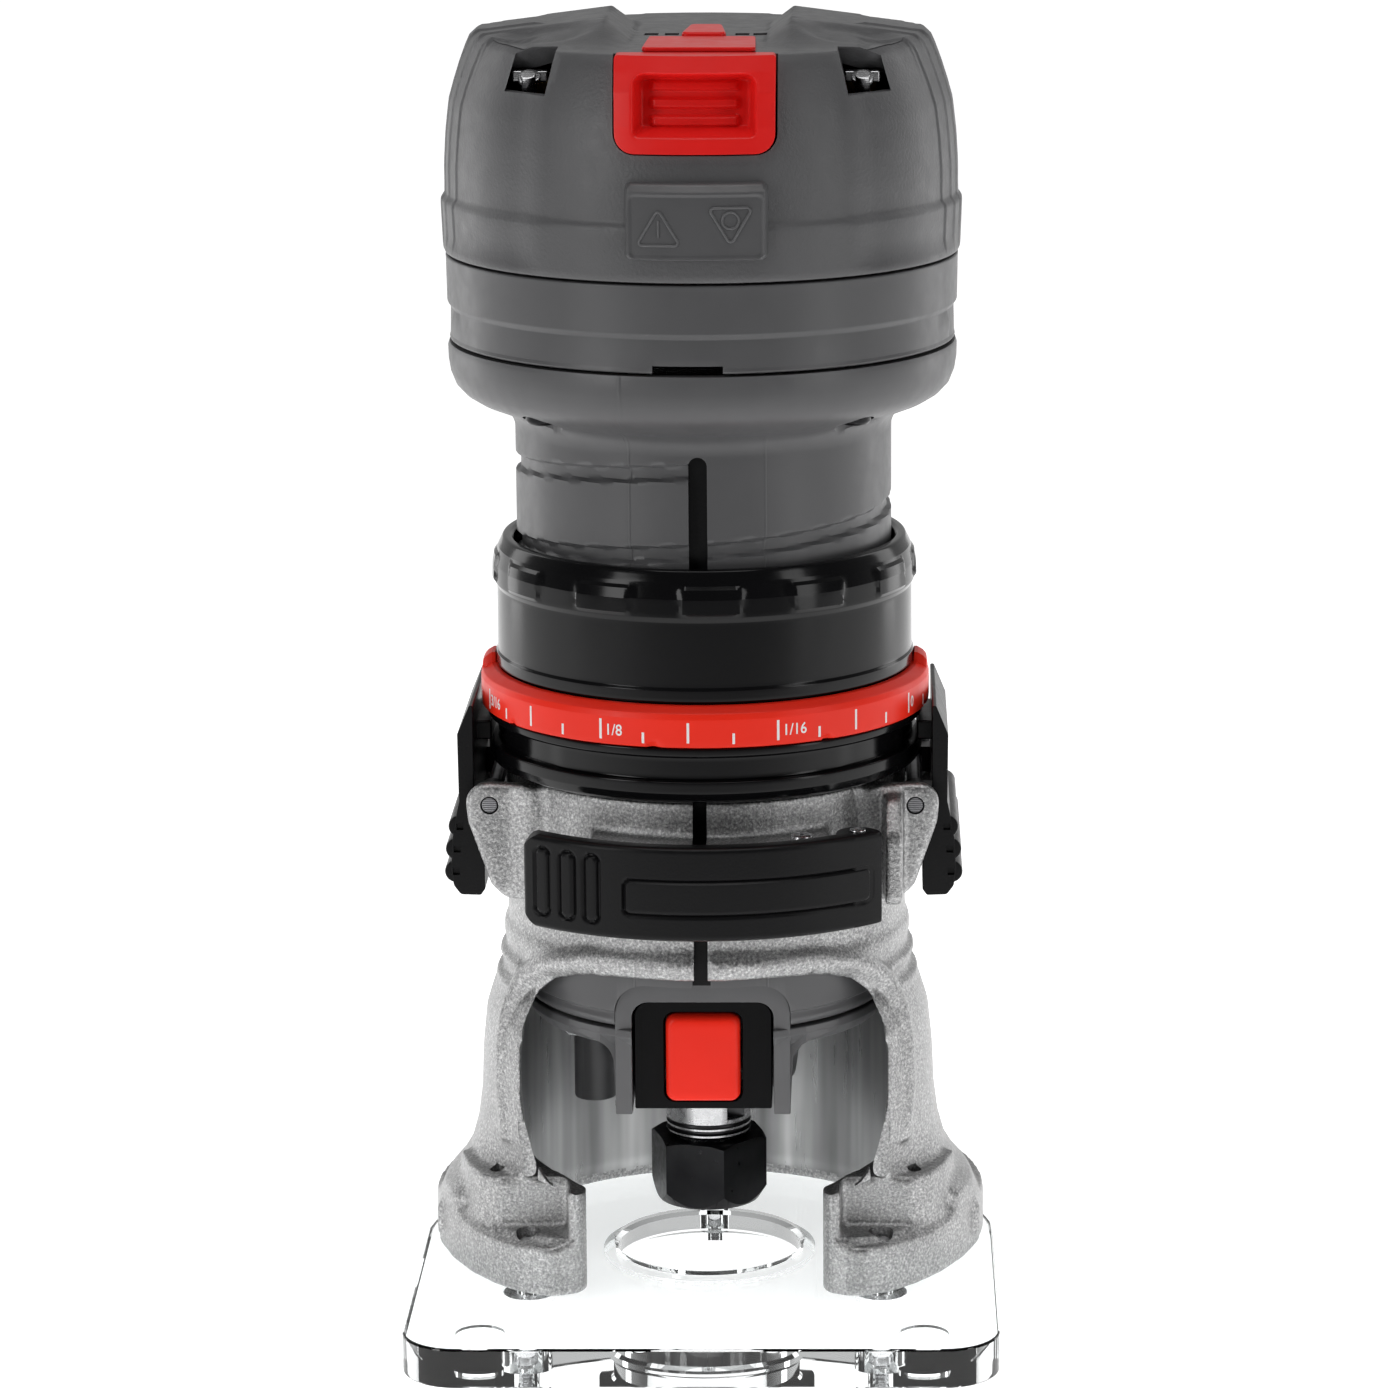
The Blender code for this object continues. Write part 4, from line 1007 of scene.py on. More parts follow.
# ================================================================== release latches
for s, n in ((-1, "left"), (1, "right")):
    side = [(36.4, 100.6), (37.0, 100.7), (38.95, 96.0), (38.85, 85.0), (39.3, 83.0), (40.0, 79.0), (40.3, 74.0),
            (39.9, 71.2), (38.8, 69.7), (35.6, 69.6), (34.9, 70.6), (34.9, 81.3), (36.4, 83.2)]
    side = fillet(side, [0.2, 0.5, 0.9, 0.9, 1.0, 1.5, 1.5, 1.2, 0.8, 0.5, 0.3, 0.5, 0.5], 4, True)
    body = prism("latch_body_" + n, [(s * x, z) for x, z in side], -15.4, 15.4, 'XZ', (SATIN,))
    bevel(body, 0.5, 3, 50)
    hook = box("hk", (min(s * 34.0, s * 37.0), -8, 93.4), (max(s * 34.0, s * 37.0), 8, 96.5), (SATIN,), 0.35)
    boolop(body, hook, 'UNION', 'MANIFOLD')
    for t in (-1, 1):
        kn = cyl("kn", 2.5, (s * 33.7, t * 13.4, 85.4), 4.2, 'Y', (SATIN,), 32)
        boolop(body, kn, 'UNION', 'MANIFOLD')
        wb = box("wb", (min(s * 33.7, s * 37.2), t * 13.4 - 2.0, 83.3), (max(s * 33.7, s * 37.2), t * 13.4 + 2.0, 87.5),
                 (SATIN,))
        boolop(body, wb, 'UNION', 'MANIFOLD')
    # rib bars on the grip, each a rounded bar with a stepped end
    for zc, xc in ((80.9, 38.75), (77.2, 39.25), (73.5, 39.45)):
        rb = cyl("rb", 1.85, (s * xc, 0, zc), 30.6, 'Y', (SATIN,), 32, bev=0.3)
        boolop(body, rb, 'UNION', 'MANIFOLD')
        for t in (-1, 1):
            cuts(body, box("sq", (s * xc - 0.55, t * 15.3 - 0.5, zc - 0.55), (s * xc + 0.55, t * 15.3 + 0.5, zc + 0.55)))
    cuts(body, cyl("c", 1.4, (s * 33.7, 0, 85.4), 60, 'Y', seg=24),
         cyl("c", 3.3, (s * 35.3, 0, 75.0), 7.4, 'X', seg=32))
    panelc = box("pc", (min(s * 38.45, s * 39.5), -11.5, 86.5), (max(s * 38.45, s * 39.5), 11.5, 94.5))
    bevel(panelc, 0.4, 3)
    cuts(body, panelc)
    put(body, "release_latch_" + n, "release_latch_" + n, slot="black_gloss")

# ================================================================== clamp lever
PV = (24.6, -30.8)
NC = (-10.0, -34.4)
ang = math.atan2(PV[1] - NC[1], PV[0] - NC[0])
ux, uy = math.cos(ang), math.sin(ang)


def lever_out(phi, z):
    """Outer radius of the lever's face."""
    x = 42.0 * math.sin(math.radians(phi))
    R = 41.95
    d = sd_box(x, z, 0.0, 76.7, 99, 7.55, 0)
    # three upright ribs
    for xc in (-24.6, -20.6, -16.7):
        e = sd_box(x, z, xc, 77.0, 1.15, 5.4, 1.1)
        R -= 0.42 * (1 - sstep(0.05, 0.35, abs(e + 0.0))) * 1.0
        R += 0.18 * (1 - sstep(-0.5, -0.15, e))
    e = sd_box(x, z, 7.6, 76.2, 19.2, 2.75, 1.0)
    R -= 0.38 * (1 - sstep(0.05, 0.32, abs(e)))
    R += 0.16 * (1 - sstep(-0.5, -0.1, e))
    return R


lb = bmesh.new()
phis = []
p = -41.7
while p < 42.6:
    phis.append(p)
    p += 0.36
zs = [69.25 + 15.0 * j / 60 for j in range(61)]
G = []
for p in phis:
    c, s_ = math.cos(math.radians(p - 90)), math.sin(math.radians(p - 90))
    colm = []
    for z in zs:
        R = lever_out(p, z)
        ez = min(z - 69.25, 84.25 - z)
        R -= 0.8 * (1 - math.sqrt(max(0, 1 - (1 - min(1, ez / 0.8)) ** 2)))
        ep = (p + 41.7) / 57.3 * 42.0
        R -= 1.0 * (1 - math.sqrt(max(0, 1 - (1 - min(1, ep / 1.0)) ** 2)))
        colm.append(lb.verts.new((R * c, R * s_, z)))
    G.append(colm)
H = []
for p in phis:
    c, s_ = math.cos(math.radians(p - 90)), math.sin(math.radians(p - 90))
    H.append([lb.verts.new((39.25 * c, 39.25 * s_, z)) for z in zs])
for i in range(len(phis) - 1):
    for j in range(len(zs) - 1):
        lb.faces.new([G[i][j], G[i + 1][j], G[i + 1][j + 1], G[i][j + 1]])
        lb.faces.new([H[i][j], H[i][j + 1], H[i + 1][j + 1], H[i + 1][j]])
for i in range(len(phis) - 1):
    lb.faces.new([G[i][0], H[i][0], H[i + 1][0], G[i + 1][0]])
    lb.faces.new([G[i][-1], G[i + 1][-1], H[i + 1][-1], H[i][-1]])
for j in range(len(zs) - 1):
    lb.faces.new([G[0][j], G[0][j + 1], H[0][j + 1], H[0][j]])
    lb.faces.new([G[-1][j], H[-1][j], H[-1][j + 1], G[-1][j + 1]])
lever = from_bm("lever_body", lb, (SATIN,), 40)
# round the left end's corners
rc = fillet([(-27.95, 69.0), (40, 69.0), (40, 84.5), (-27.95, 84.5)], [4.2, 0, 0, 4.2], 10, True)
boolop(lever, prism("li", rc, -60, -20, 'XZ'), 'INTERSECT', smooth=40)
end_r = [(-60.0, -60.0), (PV[0] + 4.1, -60.0), (PV[0] + 4.25, PV[1] - 1.0), (PV[0] + 4.2, PV[1] + 0.6), (PV[0] + 3.2, PV[1] + 2.2), (20.0, -20.0), (-60.0, -20.0)]
boolop(lever, prism("li2", fillet(end_r, [0, 0, 0.8, 0.8, 0.6, 0, 0], 5, True), 60, 95), 'INTERSECT', smooth=40)
kn = cyl("kn", 3.4, (*PV, 76.75), 14.6, 'Z', (SATIN,), 48)
boolop(kn, cyl("kl", 41.9, (0, 0, 76.75), 20, 'Z', seg=360), 'INTERSECT', smooth=40)
bevel(kn, 0.4, 3, 60)
boolop(lever, kn, 'UNION', 'MANIFOLD', 40)
fan = [(PV[0], PV[1])] + [(PV[0] + 7 * math.cos(math.radians(q_)), PV[1] + 7 * math.sin(math.radians(q_))) for q_ in range(50, 187, 8)]
cuts(lever, cyl("fk1", 2.3, (*PV, 77.0), 4.9, 'Z', seg=48), prism("fk3", fan, 74.55, 79.45),
     cyl("fk2", 1.5, (*PV, 77.0), 30, 'Z', seg=32), smooth=40)
fg = box("fg", (-4.4, -2.0, -2.45), (0, 2.0, 2.45))
for v in fg.data.vertices:
    x, y, z = v.co / S
    v.co = Vector((PV[0] - 3.2 * ux + x * ux - y * uy, PV[1] - 3.2 * uy + x * uy + y * ux, 77 + z)) * S
cuts(lever, fg, smooth=40)
put(lever, "clamp_lever", "clamp_lever", slot="black_gloss")

# ================================================================== base casting
outer = [(32.2, 89.05), (32.2, 66.0), (32.3, 63.4), (32.9, 62.6), (33.0, 60.4), (32.5, 59.6), (32.5, 57.6),
         (32.8, 56.0), (33.4, 54.2), (34.6, 52.2), (36.0, 47.8), (36.7, 41.0), (37.0, 34.0), (37.7, 28.6),
         (39.0, 23.9), (41.0, 20.6), (43.4, 17.8), (44.3, 15.2), (44.3, 9.5)]
innr = [(34.7, 9.5), (34.65, 22.0), (34.6, 40.0), (34.2, 51.0), (30.5, 55.0), (30.5, 89.05)]
prof = fillet(outer, [0.4, 2, 0.6, 0.5, 0.5, 0.5, 0.5, 0.6, 1.5, 3, 3, 3, 3, 3, 3, 2, 1, 1, 0.5], 4) + innr


def shell_shape(d, r, z, k):
    if r < 35.9 or z > 34:
        return r, z
    psi = abs(((d - 270 + 180) % 360) - 180)
    f = (1 - sstep(56, 80, psi)) * (1 - sstep(27, 34, z))
    return r - f * (r - 36.05), z


shell = revolve("base_body", dense(prof, 1.5, True), 240, (CAST,), shell_shape, smooth=0)
win = [(-18.9, 0), (-18.9, 22.9), (-22.0, 23.5), (-25.2, 25.2), (-27.6, 28.6), (-28.8, 33.5), (-29.3, 39.0), (-29.3, 44.5),
       (-28.5, 50.0), (-26.6, 54.4), (-23.6, 57.5), (-19.8, 59.3), (-15, 60.0), (-9, 60.2), (0, 60.2)]
win = win + [(-x, z) for x, z in reversed(win[:-1])]
left_side = [(-19.0, -15), (-19.0, -24.4), (-20.4, -27.0), (-23.0, -28.3), (-26.0, -28.1), (-30.0, -26.0),
             (-34.0, -22.3), (-38.0, -17.0), (-41.8, -9.7), (-44.4, -2.0)]
for s_ in (-1, 1):
    tr = [(s_ * 17.0, -60), (s_ * 17.0, -27.0)] + [(s_ * -x, y) for x, y in left_side[2:]] + [(s_ * 60, -2), (s_ * 60, -60)]
    cuts(shell, prism("t1", tr, 0, 70), smooth=0)
    pk = [(s_ * 17, -60), (s_ * 17, -20.4), (s_ * 33.3, -20.4), (s_ * 36.6, -17.4), (s_ * 38.8, -12.0), (s_ * 60, -11), (s_ * 60, -60)]
    cuts(shell, prism("t2", pk, 15.2, 24.4), smooth=0)
cuts(shell, prism("wc", win, -60, -9.5, 'XZ'), smooth=0)
bits = []
# rolled rim standing round the top and sides of the window
rim = []
for x, z in dense(fillet([(-31.0, 29.5), (-31.9, 38.0), (-31.8, 45.0), (-30.9, 50.8), (-28.6, 56.2), (-24.2, 60.4),
                          (-17, 62.4), (-1.2, 62.7)], 7, 6), 1.2):
    R = interp([(20, 36.4), (28, 35.5), (34, 35.5), (44, 35.3), (50, 34.5), (54, 33.4), (58, 32.2), (63, 31.4)], z)
    if abs(x) < R - 0.5:
        rim.append((x, -math.sqrt(R * R - x * x), z))
bits.append(sweep("rimL", rim, 2.1, 14))
bits.append(sweep("rimR", [(-x, y, z) for x, y, z in rim], 2.1, 14))
fl = fillet(left_side + arc(0, 5.5, 45.4, 180, 0, 40) + [(-x, y) for x, y in reversed(left_side)], 1.4, 4, True)
foot = prism("foot", fl, 6.2, 14.6, 'XY')
blocks = [foot]
for s_ in (-1, 1):
    def mx(pts, f=s_):
        return [(f * -x, y) for x, y in pts]
    # raised end wall by the opening, shelf with its front wall, pocket floor and rim
    blocks.append(prism("w1", mx([(-21.9, -16), (-21.9, -26.4), (-20.6, -27.2), (-19.6, -26.2), (-19.0, -24.6), (-19.0, -15)]),
                        6.2, 23.6, 'XY'))
    blocks.append(prism("w2", mx([(-40.4, -6), (-38.8, -13.0), (-36.6, -17.6), (-33.4, -20.5), (-19.0, -20.4), (-19.0, -12), (-30, -3)]),
                        6.2, 24.0, 'XY'))
    blocks.append(prism("w3", mx([(-41.8, -8), (-38.0, -15.4), (-34.0, -20.6), (-30.2, -23.9), (-26.2, -26.0), (-23.4, -26.2), (-19.6, -25), (-19.6, -10)]),
                        6.2, 15.9, 'XY'))
    g = [(s_ * 38.0, 25.0), (s_ * 40.0, 22.4), (s_ * 44.6, 13.6), (s_ * 44.6, 9), (s_ * 38.0, 9)]
    blocks.append(prism("w4", g, -4.6, -2.8, 'XZ'))
cav = [prism("fc", arc(0, 0, 29.3, 0, 360, 72)[:-1], 0, 62, 'XY'), prism("fc2", arc(0, 0, 34.9, -12, 192, 60), 0, 30, 'XY'),
       box("fc3", (-18.95, -60, 0), (18.95, -5, 30))]
for bk_ in blocks:
    for c_ in cav:
        boolop(bk_, c_, keep=True, smooth=0)
for c_ in cav:
    bpy.data.objects.remove(c_, do_unlink=True)
bits += blocks
for s_ in (-1, 1):
    # latch ears: rounded plates with a boss round the pin
    ear = fillet([(s_ * 26.2, 88.7), (s_ * 35.2, 88.9), (s_ * 37.6, 86.9), (s_ * 37.2, 82.6), (s_ * 33.6, 72.2), (s_ * 31.2, 70.0),
                  (s_ * 26.2, 70.0)], [0, 2.4, 2.6, 3, 2, 1.8, 0], 6, True)
    for t_ in (-1, 1):
        bits.append(prism("e1", ear, min(t_ * 16.6, t_ * 19.4), max(t_ * 16.6, t_ * 19.4), 'XZ'))
        web = [(s_ * 25.0, t_ * 17.0), (s_ * 31.0, t_ * 17.2), (s_ * 31.0, t_ * 19.2), (s_ * 27.6, t_ * 20.6), (s_ * 24.0, t_ * 21.0)]
        bits.append(prism("e3", web, 70.4, 88.4, 'XY'))
    # scallops at the bell's shoulder
    for zc in (57.4, 53.6):
        bits.append(sweep("sc", [(s_ * (32.9 if zc > 55 else 33.6) * math.cos(math.radians(q_)), (32.9 if zc > 55 else 33.6) * math.sin(math.radians(q_)), zc)
                                 for q_ in range(-26, 49, 4)], 0.9, 8))
fx, fy = PV[0] - 3.85 * ux, PV[1] - 3.85 * uy
lug_l = arc(0, 0, 38.4, 243, 269.5, 12) + [(-0.3, -31.0)] + arc(0, 0, 31.3, 269, 237, 8)
lug_r = arc(0, 0, 38.4, 270.5, 301.5, 12) + [(fx + 1.0 * uy, fy - 1.0 * ux), (fx - 2.6 * uy, fy + 2.6 * ux)] \
    + arc(0, 0, 31.3, 308, 271, 8) + [(0.3, -31.0)]
bits.append(prism("l1", lug_l, 71.2, 83.4, 'XY'))
bits.append(prism("l2", lug_r, 71.2, 83.4, 'XY'))
gd = fillet([(-27.6, 71.0), (-27.6, 82.6), (-23.5, 87.4), (-17.6, 87.9), (-17.6, 71.0)], [1.5, 3, 3, 0, 0], 6, True)
bits.append(prism("l3", gd, 28.8, 31.7, 'YZ'))
cast = merge("base_body", [shell] + bits, (CAST, MACH), 0)
rm = cast.modifiers.new("rm", 'REMESH')
rm.mode = 'VOXEL'
rm.voxel_size = 0.5 * S
rm.use_smooth_shade = True
bake(cast, 0)
sm = cast.modifiers.new("sm", 'SMOOTH')
sm.factor = 0.5
sm.iterations = 9
bake(cast, 0)
# crisp machined cuts: split, pin bores, screw holes, tie bore, nut pocket, seating faces
cut_list = [box("k", (-1.1, -45, 50), (1.1, -20, 95)),
            cyl("k", 1.45, (33.7, 0, 85.4), 50, 'Y', seg=28), cyl("k", 1.45, (-33.7, 0, 85.4), 50, 'Y', seg=28),
            cyl("k", 1.5, (0, 33, 66), 14, 'Y', seg=24),
            cyl("k", 2.2, (30.5, -23.6, 77), 10, 'X', seg=32),
            revolve("k", [(0, 24.7), (34.6, 24.7), (34.6, 50.6), (30.4, 54.9), (30.4, 95), (0, 95)], 200, closed=False),
            prism("k", arc(0, 0, 34.6, -14, 194, 110), 5, 24.9, 'XY'),
            prism("k", fillet(win, [0, 0.6] + [4] * (len(win) - 4) + [0.6, 0], 5, True), -60, -9.5, 'XZ'),
            box("k", (-70, -70, 0), (70, 70, 6.66)), box("k", (-60, -60, 89.1), (60, 60, 95))]
for x, y in ((-28.3, -23.2), (28.3, -23.2), (0, 43)):
    cut_list.append(cyl("k", 2.0, (x, y, 14), 40, 'Z', seg=28))
for s_ in (-1, 1):
    cut_list.append(cyl("k", 1.25, (s_ * 33.6, -16.4, 20.4), 8.6, 'Z', seg=24))
tb = cyl("k", 1.95, ((PV[0] + NC[0]) / 2, (PV[1] + NC[1]) / 2, 77), 60, (ux, uy, 0), seg=28)
cut_list.append(tb)
npk = box("k", (-2.1, -8, -3.4), (2.1, 3.4, 3.4))
for v in npk.data.vertices:
    x, y, z = v.co / S
    v.co = Vector((NC[0] + x * ux - y * uy, NC[1] - 2.3 + x * uy + y * ux, 77 + z)) * S
cut_list.append(npk)
cuts(cast, *cut_list, smooth=50)
cast.data.materials.append(BELL)
# the bell's machined wall runs behind the window
for p in cast.data.polygons:
    c = p.center / S
    nrm = p.normal
    r = math.hypot(c.x, c.y)
    inward = -(nrm.x * c.x + nrm.y * c.y) / max(r, 1)
    mach = (inward > 0.72 and 29 < r < 37.0 and c.z > 8 and not (c.y < -15 and c.z < 62)) or (c.z > 89.0) \
        or (c.z < 6.7 and nrm.z < -0.9) or (abs(abs(c.x) - 1.1) < 0.05 and c.y < -25)
    p.material_index = 1 if mach else 0
    # painted reflection: the inner wall behind the window takes the streaked colour
    if mach and 7 < c.z < 56 and inward > 0.72 and r > 29:
        p.material_index = len(cast.data.materials) - 1
put(cast, "base", "base_casting", slot="casting")

# small pin head on the right lug, and the latch pins
ph = revolve("lug_pin_head", [(0, 84.4), (1.3, 84.4), (1.7, 84.2), (1.8, 83.9), (1.8, 83.0), (0, 83.0)], 32, (STEEL,),
             closed=False)
for v in ph.data.vertices:
    v.co.x += 15.9 * S
    v.co.y += -33.2 * S
cuts(ph, box("x", (15.6, -34.3, 84.05), (16.2, -32.1, 85)), box("x", (14.8, -33.5, 84.05), (17.0, -32.9, 85)))
put(ph, "base", slot="bright_steel")
for s, n in ((-1, "left"), (1, "right")):
    pin = cyl("latch_pin_body_" + n, 1.25, (s * 33.7, 0, 85.4), 38.5, 'Y', (LAM,), 32, bev=0.2)
    put(pin, "base", "latch_pin_" + n, slot="bright_steel")
pv = cyl("pivot_pin_body", 1.3, (*PV, 76.9), 15.4, 'Z', (STEEL,), 32, bev=0.25)
put(pv, "base", "lever_pivot_pin", slot="bright_steel")
# tie bolt with threads at its nut end, and the nut
tl = math.dist(PV, NC)
tprof = [(0.0, 0.0), (1.25, 0.0), (1.5, 0.25)]
zz = 0.4
while zz < 9.0:
    tprof += [(1.6, zz), (1.3, zz + 0.3)]
    zz += 0.6
tprof += [(1.6, zz), (1.6, tl - 2.4), (0.0, tl - 2.4)]
tieb = revolve("tie_bolt_body", tprof, 28, (STEEL,), closed=False, smooth=45)
q = Vector((0, 0, 1)).rotation_difference(Vector((ux, uy, 0))).to_matrix()
for v in tieb.data.vertices:
    v.co = q @ v.co + Vector((NC[0] - 2.2 * ux, NC[1] - 2.2 * uy, 77)) * S
bmx = bmesh.new()
bmx.from_mesh(tieb.data)
bmesh.ops.recalc_face_normals(bmx, faces=bmx.faces)
bmx.to_mesh(tieb.data)
bmx.free()
eye = cyl("eye", 2.12, (*PV, 77), 4.2, 'Z', (STEEL,), 40, bev=0.3)
boolop(tieb, eye, 'UNION')
cuts(tieb, cyl("k", 1.55, (*PV, 77), 10, 'Z', seg=32))
put(tieb, "base", "tie_bolt", slot="bright_steel")
tn = cyl("tie_nut_body", 2.9, (*NC, 77), 3.0, (ux, uy, 0), (STEEL,), 6, turn=math.radians(30))
bevel(tn, 0.3, 2)
cuts(tn, cyl("k", 1.8, (*NC, 77), 10, (ux, uy, 0), seg=28))
put(tn, "base", "tie_nut", slot="bright_steel")

# ================================================================== nose, lock and spindle
nprof = fillet([(26.9, 52.9), (26.9, 50.6), (29.5, 50.6), (29.6, 49.4), (28.4, 47.6), (24.0, 46.4), (17.6, 45.6), (16.6, 42.4),
                (14.9, 39.6), (14.3, 35.5), (7.6, 35.5), (7.6, 43.1), (14.2, 43.1), (14.2, 52.9)],
               [0.2, 0, 0.3, 0.5, 0.8, 1.2, 1.2, 1.2, 1.0, 0.4, 0.3, 0, 0, 0.2], 4, True)
nose = revolve("nose_body", dense(nprof, 2.0, True), 160, (GREY_S,), smooth=38)
post = cyl("post", 3.45, (-19.0, 8.0, 38.5), 19.5, 'Z', (GREY_S,), 40, bev=0.4)
boolop(nose, post, 'UNION', 'MANIFOLD', 38)
for s in (-1, 1):
    wing = fillet([(s * 11.25, 36.4), (s * 13.85, 36.4), (s * 14.4, 47.9), (s * 21.5, 48.9), (s * 21.5, 50.5), (s * 11.25, 50.5)],
                  [0.3, 0.4, 4.5, 0.5, 0, 0], 8, True)
    wp = prism("wing", wing, -24.6, -8.0, 'XZ', (GREY_S,))
    boolop(wp, cyl("wl", 29.55, (0, 0, 44), 40, 'Z', seg=160), 'INTERSECT', smooth=38)
    boolop(nose, wp, 'UNION', 'MANIFOLD', 38)
cuts(nose, box("k", (-11.25, -34, 30), (11.25, -14.4, 60)), cyl("k", 1.6, (0, -12, 40.6), 12, 'Y', seg=24),
     cyl("k", 2.5, (0, -13.0, 40.6), 6.0, 'Y', seg=32),
     cyl("k", 1.8, (-20.5, -9.5, 50), 20, 'Z', seg=24), cyl("k", 1.8, (21.0, 9.0, 50), 20, 'Z', seg=24), smooth=38)
put(nose, "motor", "nose_housing", slot="housing")
# arched frame over the lock bezel, moulded with the barrel
fo = fillet([(-13.9, 36.4), (-13.9, 58.35), (13.9, 58.35), (13.9, 36.4), (11.25, 36.4), (11.25, 54.95), (-11.25, 54.95), (-11.25, 36.4)],
            [0, 5.2, 5.2, 0, 0, 2.6, 2.6, 0], 8, True)
frame_ob = prism("lock_arch", fo, -26.2, -23.2, 'XZ', (GREY_S,))
bevel(frame_ob, 0.22, 2)
put(frame_ob, "motor", slot="housing")

bz = fillet([(-10.9, 36.8), (10.9, 36.8), (10.9, 54.6), (-10.9, 54.6)], [0.3, 0.3, 2.5, 2.5], 8, True)
bez = prism("lock_frame", bz, -24.3, -14.7, 'XZ', (BEZEL,))
hol = fillet([(-6.25, 38.0), (6.25, 38.0), (6.25, 52.8), (-6.25, 52.8)], 1.7, 6, True)
cuts(bez, prism("k", hol, -30, -10, 'XZ'))
bevel(bez, 0.45, 3)
put(bez, "motor", "lock_bezel", slot="black_gloss")
bo = fillet([(-5.9, 38.35), (5.9, 38.35), (5.9, 52.45), (-5.9, 52.45)], 1.5, 6, True)
bb = bmesh.new()
levels = [(-19.3, 0.0), (-24.6, 0.0), (-25.3, 0.12), (-25.75, 0.42), (-25.95, 0.85)]
ringsb = []
for y, ins in levels:
    ringsb.append([bb.verts.new((x * (5.9 - ins) / 5.9, y, 45.4 + (z - 45.4) * (7.05 - ins) / 7.05)) for x, z in bo])
for a, b in zip(ringsb, ringsb[1:]):
    for i in range(len(bo)):
        bb.faces.new([a[i], a[(i + 1) % len(bo)], b[(i + 1) % len(bo)], b[i]])
bb.faces.new(ringsb[0])
last = ringsb[-1]
for k in range(1, 6):
    t = 1 - k / 6
    new = [bb.verts.new((v.co.x * t / (1 - (k - 1) / 6), -25.95 - 0.12 * (1 - t), 45.4 + (v.co.z - 45.4) * t / (1 - (k - 1) / 6)))
           for v in last]
    for i in range(len(bo)):
        bb.faces.new([last[i], last[(i + 1) % len(bo)], new[(i + 1) % len(bo)], new[i]])
    last = new
bb.faces.new(last)
button = from_bm("lock_cap", bb, (RED_B,), 40)
put(button, "lock_button", "lock_button", slot="red_plastic")
sp = [(0.0, 202.2), (3.6, 202.2), (3.95, 201.8), (3.95, 195.3), (5.0, 194.5), (5.0, 53.0), (6.0, 52.4), (6.0, 43.2),
      (6.6, 43.1), (7.0, 42.8), (7.0, 28.3), (6.7, 28.0), (6.75, 27.7), (6.95, 27.5), (6.95, 27.2), (6.5, 26.9), (6.5, 26.7),
      (6.95, 26.4), (6.95, 26.1), (6.5, 25.8), (6.4, 25.6), (5.5, 25.5), (5.5, 17.6), (4.5, 17.6), (4.5, 31.0), (0.0, 31.0)]
spin = revolve("spindle_body", dense(sp, 4.0), 96, (STEEL, DARKST), closed=False, smooth=30)
cuts(spin, cyl("k", 1.9, (0, 0, 40.6), 30, 'Y', seg=28), cyl("k", 1.9, (0, 0, 40.6), 30, 'X', seg=28),
     box("k", (3.2, -20, 28.9), (20, -3.6, 36.0)), box("k", (-20, 3.6, 28.9), (-3.2, 20, 36.0)), smooth=30)
# painted shade: the milled flats and the thread step above the nut take the dark steel, for the shade in these recesses
for p in spin.data.polygons:
    c = p.center / S
    if 28.8 < c.z < 36.1 and (abs(c.x) > 3.0) and (abs(abs(c.y) - 3.6) < 0.05 or abs(abs(c.x) - 3.2) < 0.05) or (25.4 < c.z < 28.2 and c.x * c.x + c.y * c.y < 47.5):
        p.material_index = 1
put(spin, "spindle", "spindle_shaft", slot="bright_steel")

# collet nut: hexagon turned down to chamfers at both ends
hexo = [(9.81 * math.sin(math.radians(60 * i - 16.2 + 0)), 9.81 * math.cos(math.radians(60 * i - 16.2))) for i in range(6)]
hn = prism("nut_body", hexo, 14.3, 25.3, 'XY', (OXIDE,))
lim = revolve("lim", [(0, 25.4), (8.6, 25.4), (9.9, 24.7), (9.9, 16.8), (8.3, 14.25), (0, 14.25)], 128, closed=False)
boolop(hn, lim, 'INTERSECT', smooth=30)
bevel(hn, 0.22, 2, 40, 40)
nb = revolve("nb", [(0, 30), (6.6, 30), (6.6, 25.9), (6.3, 25.0), (5.95, 24.6), (5.95, 17.2), (4.65, 16.6), (4.65, 14.9), (5.2, 14.2), (5.2, 10), (0, 10)],
             64, closed=False)
cuts(hn, nb, smooth=30)
put(hn, "collet_nut", "collet_nut", slot="black_oxide")
# collet with its six slits
co = revolve("collet_body", fillet([(4.2, 29.4), (4.2, 16.6), (4.45, 16.2), (4.45, 15.2), (4.1, 14.9), (3.25, 14.9), (3.25, 29.4)],
                                   [0.2, 0, 0.1, 0.1, 0.1, 0.1, 0.1], 3, True), 72, (STEEL,), smooth=35)
for i in range(3):
    bxm = box("k", (-6, -0.22, 10), (6, 0.22, 26.5))
    M = Matrix.Rotation(math.radians(60 * i + 20), 3, 'Z')
    for v in bxm.data.vertices:
        v.co = M @ v.co
    cuts(co, bxm)
put(co, "spindle", "collet", slot="bright_steel")

# ================================================================== cord bush
gprof = [(0.0, 0.0), (2.0, 0.0), (3.3, 0.0), (6.9, 0.0), (7.7, 0.4), (8.15, 1.1), (8.15, 1.9), (7.9, 2.2), (6.6, 2.2)]
gprof += [(6.6, 3.0), (6.75, 3.4), (6.75, 4.2), (6.4, 4.6), (6.4, 9.0), (0.0, 9.0)]
gl = revolve("bush_body", [(r, -z) for r, z in gprof], 64, (RUBBER,), closed=False)
for v in gl.data.vertices:
    x, y, z = v.co
    v.co = Vector((x, 43.3 * S + z, 184 * S - y))
bmx = bmesh.new()
bmx.from_mesh(gl.data)
bmesh.ops.recalc_face_normals(bmx, faces=bmx.faces)
bmx.to_mesh(gl.data)
bmx.free()
cuts(gl, cyl("k", 3.3, (0, 41.5, 184), 9, 'Y', seg=40))
bevel(gl, 0.25, 2, 60)
put(gl, "motor", "cord_gland", slot="rubber")

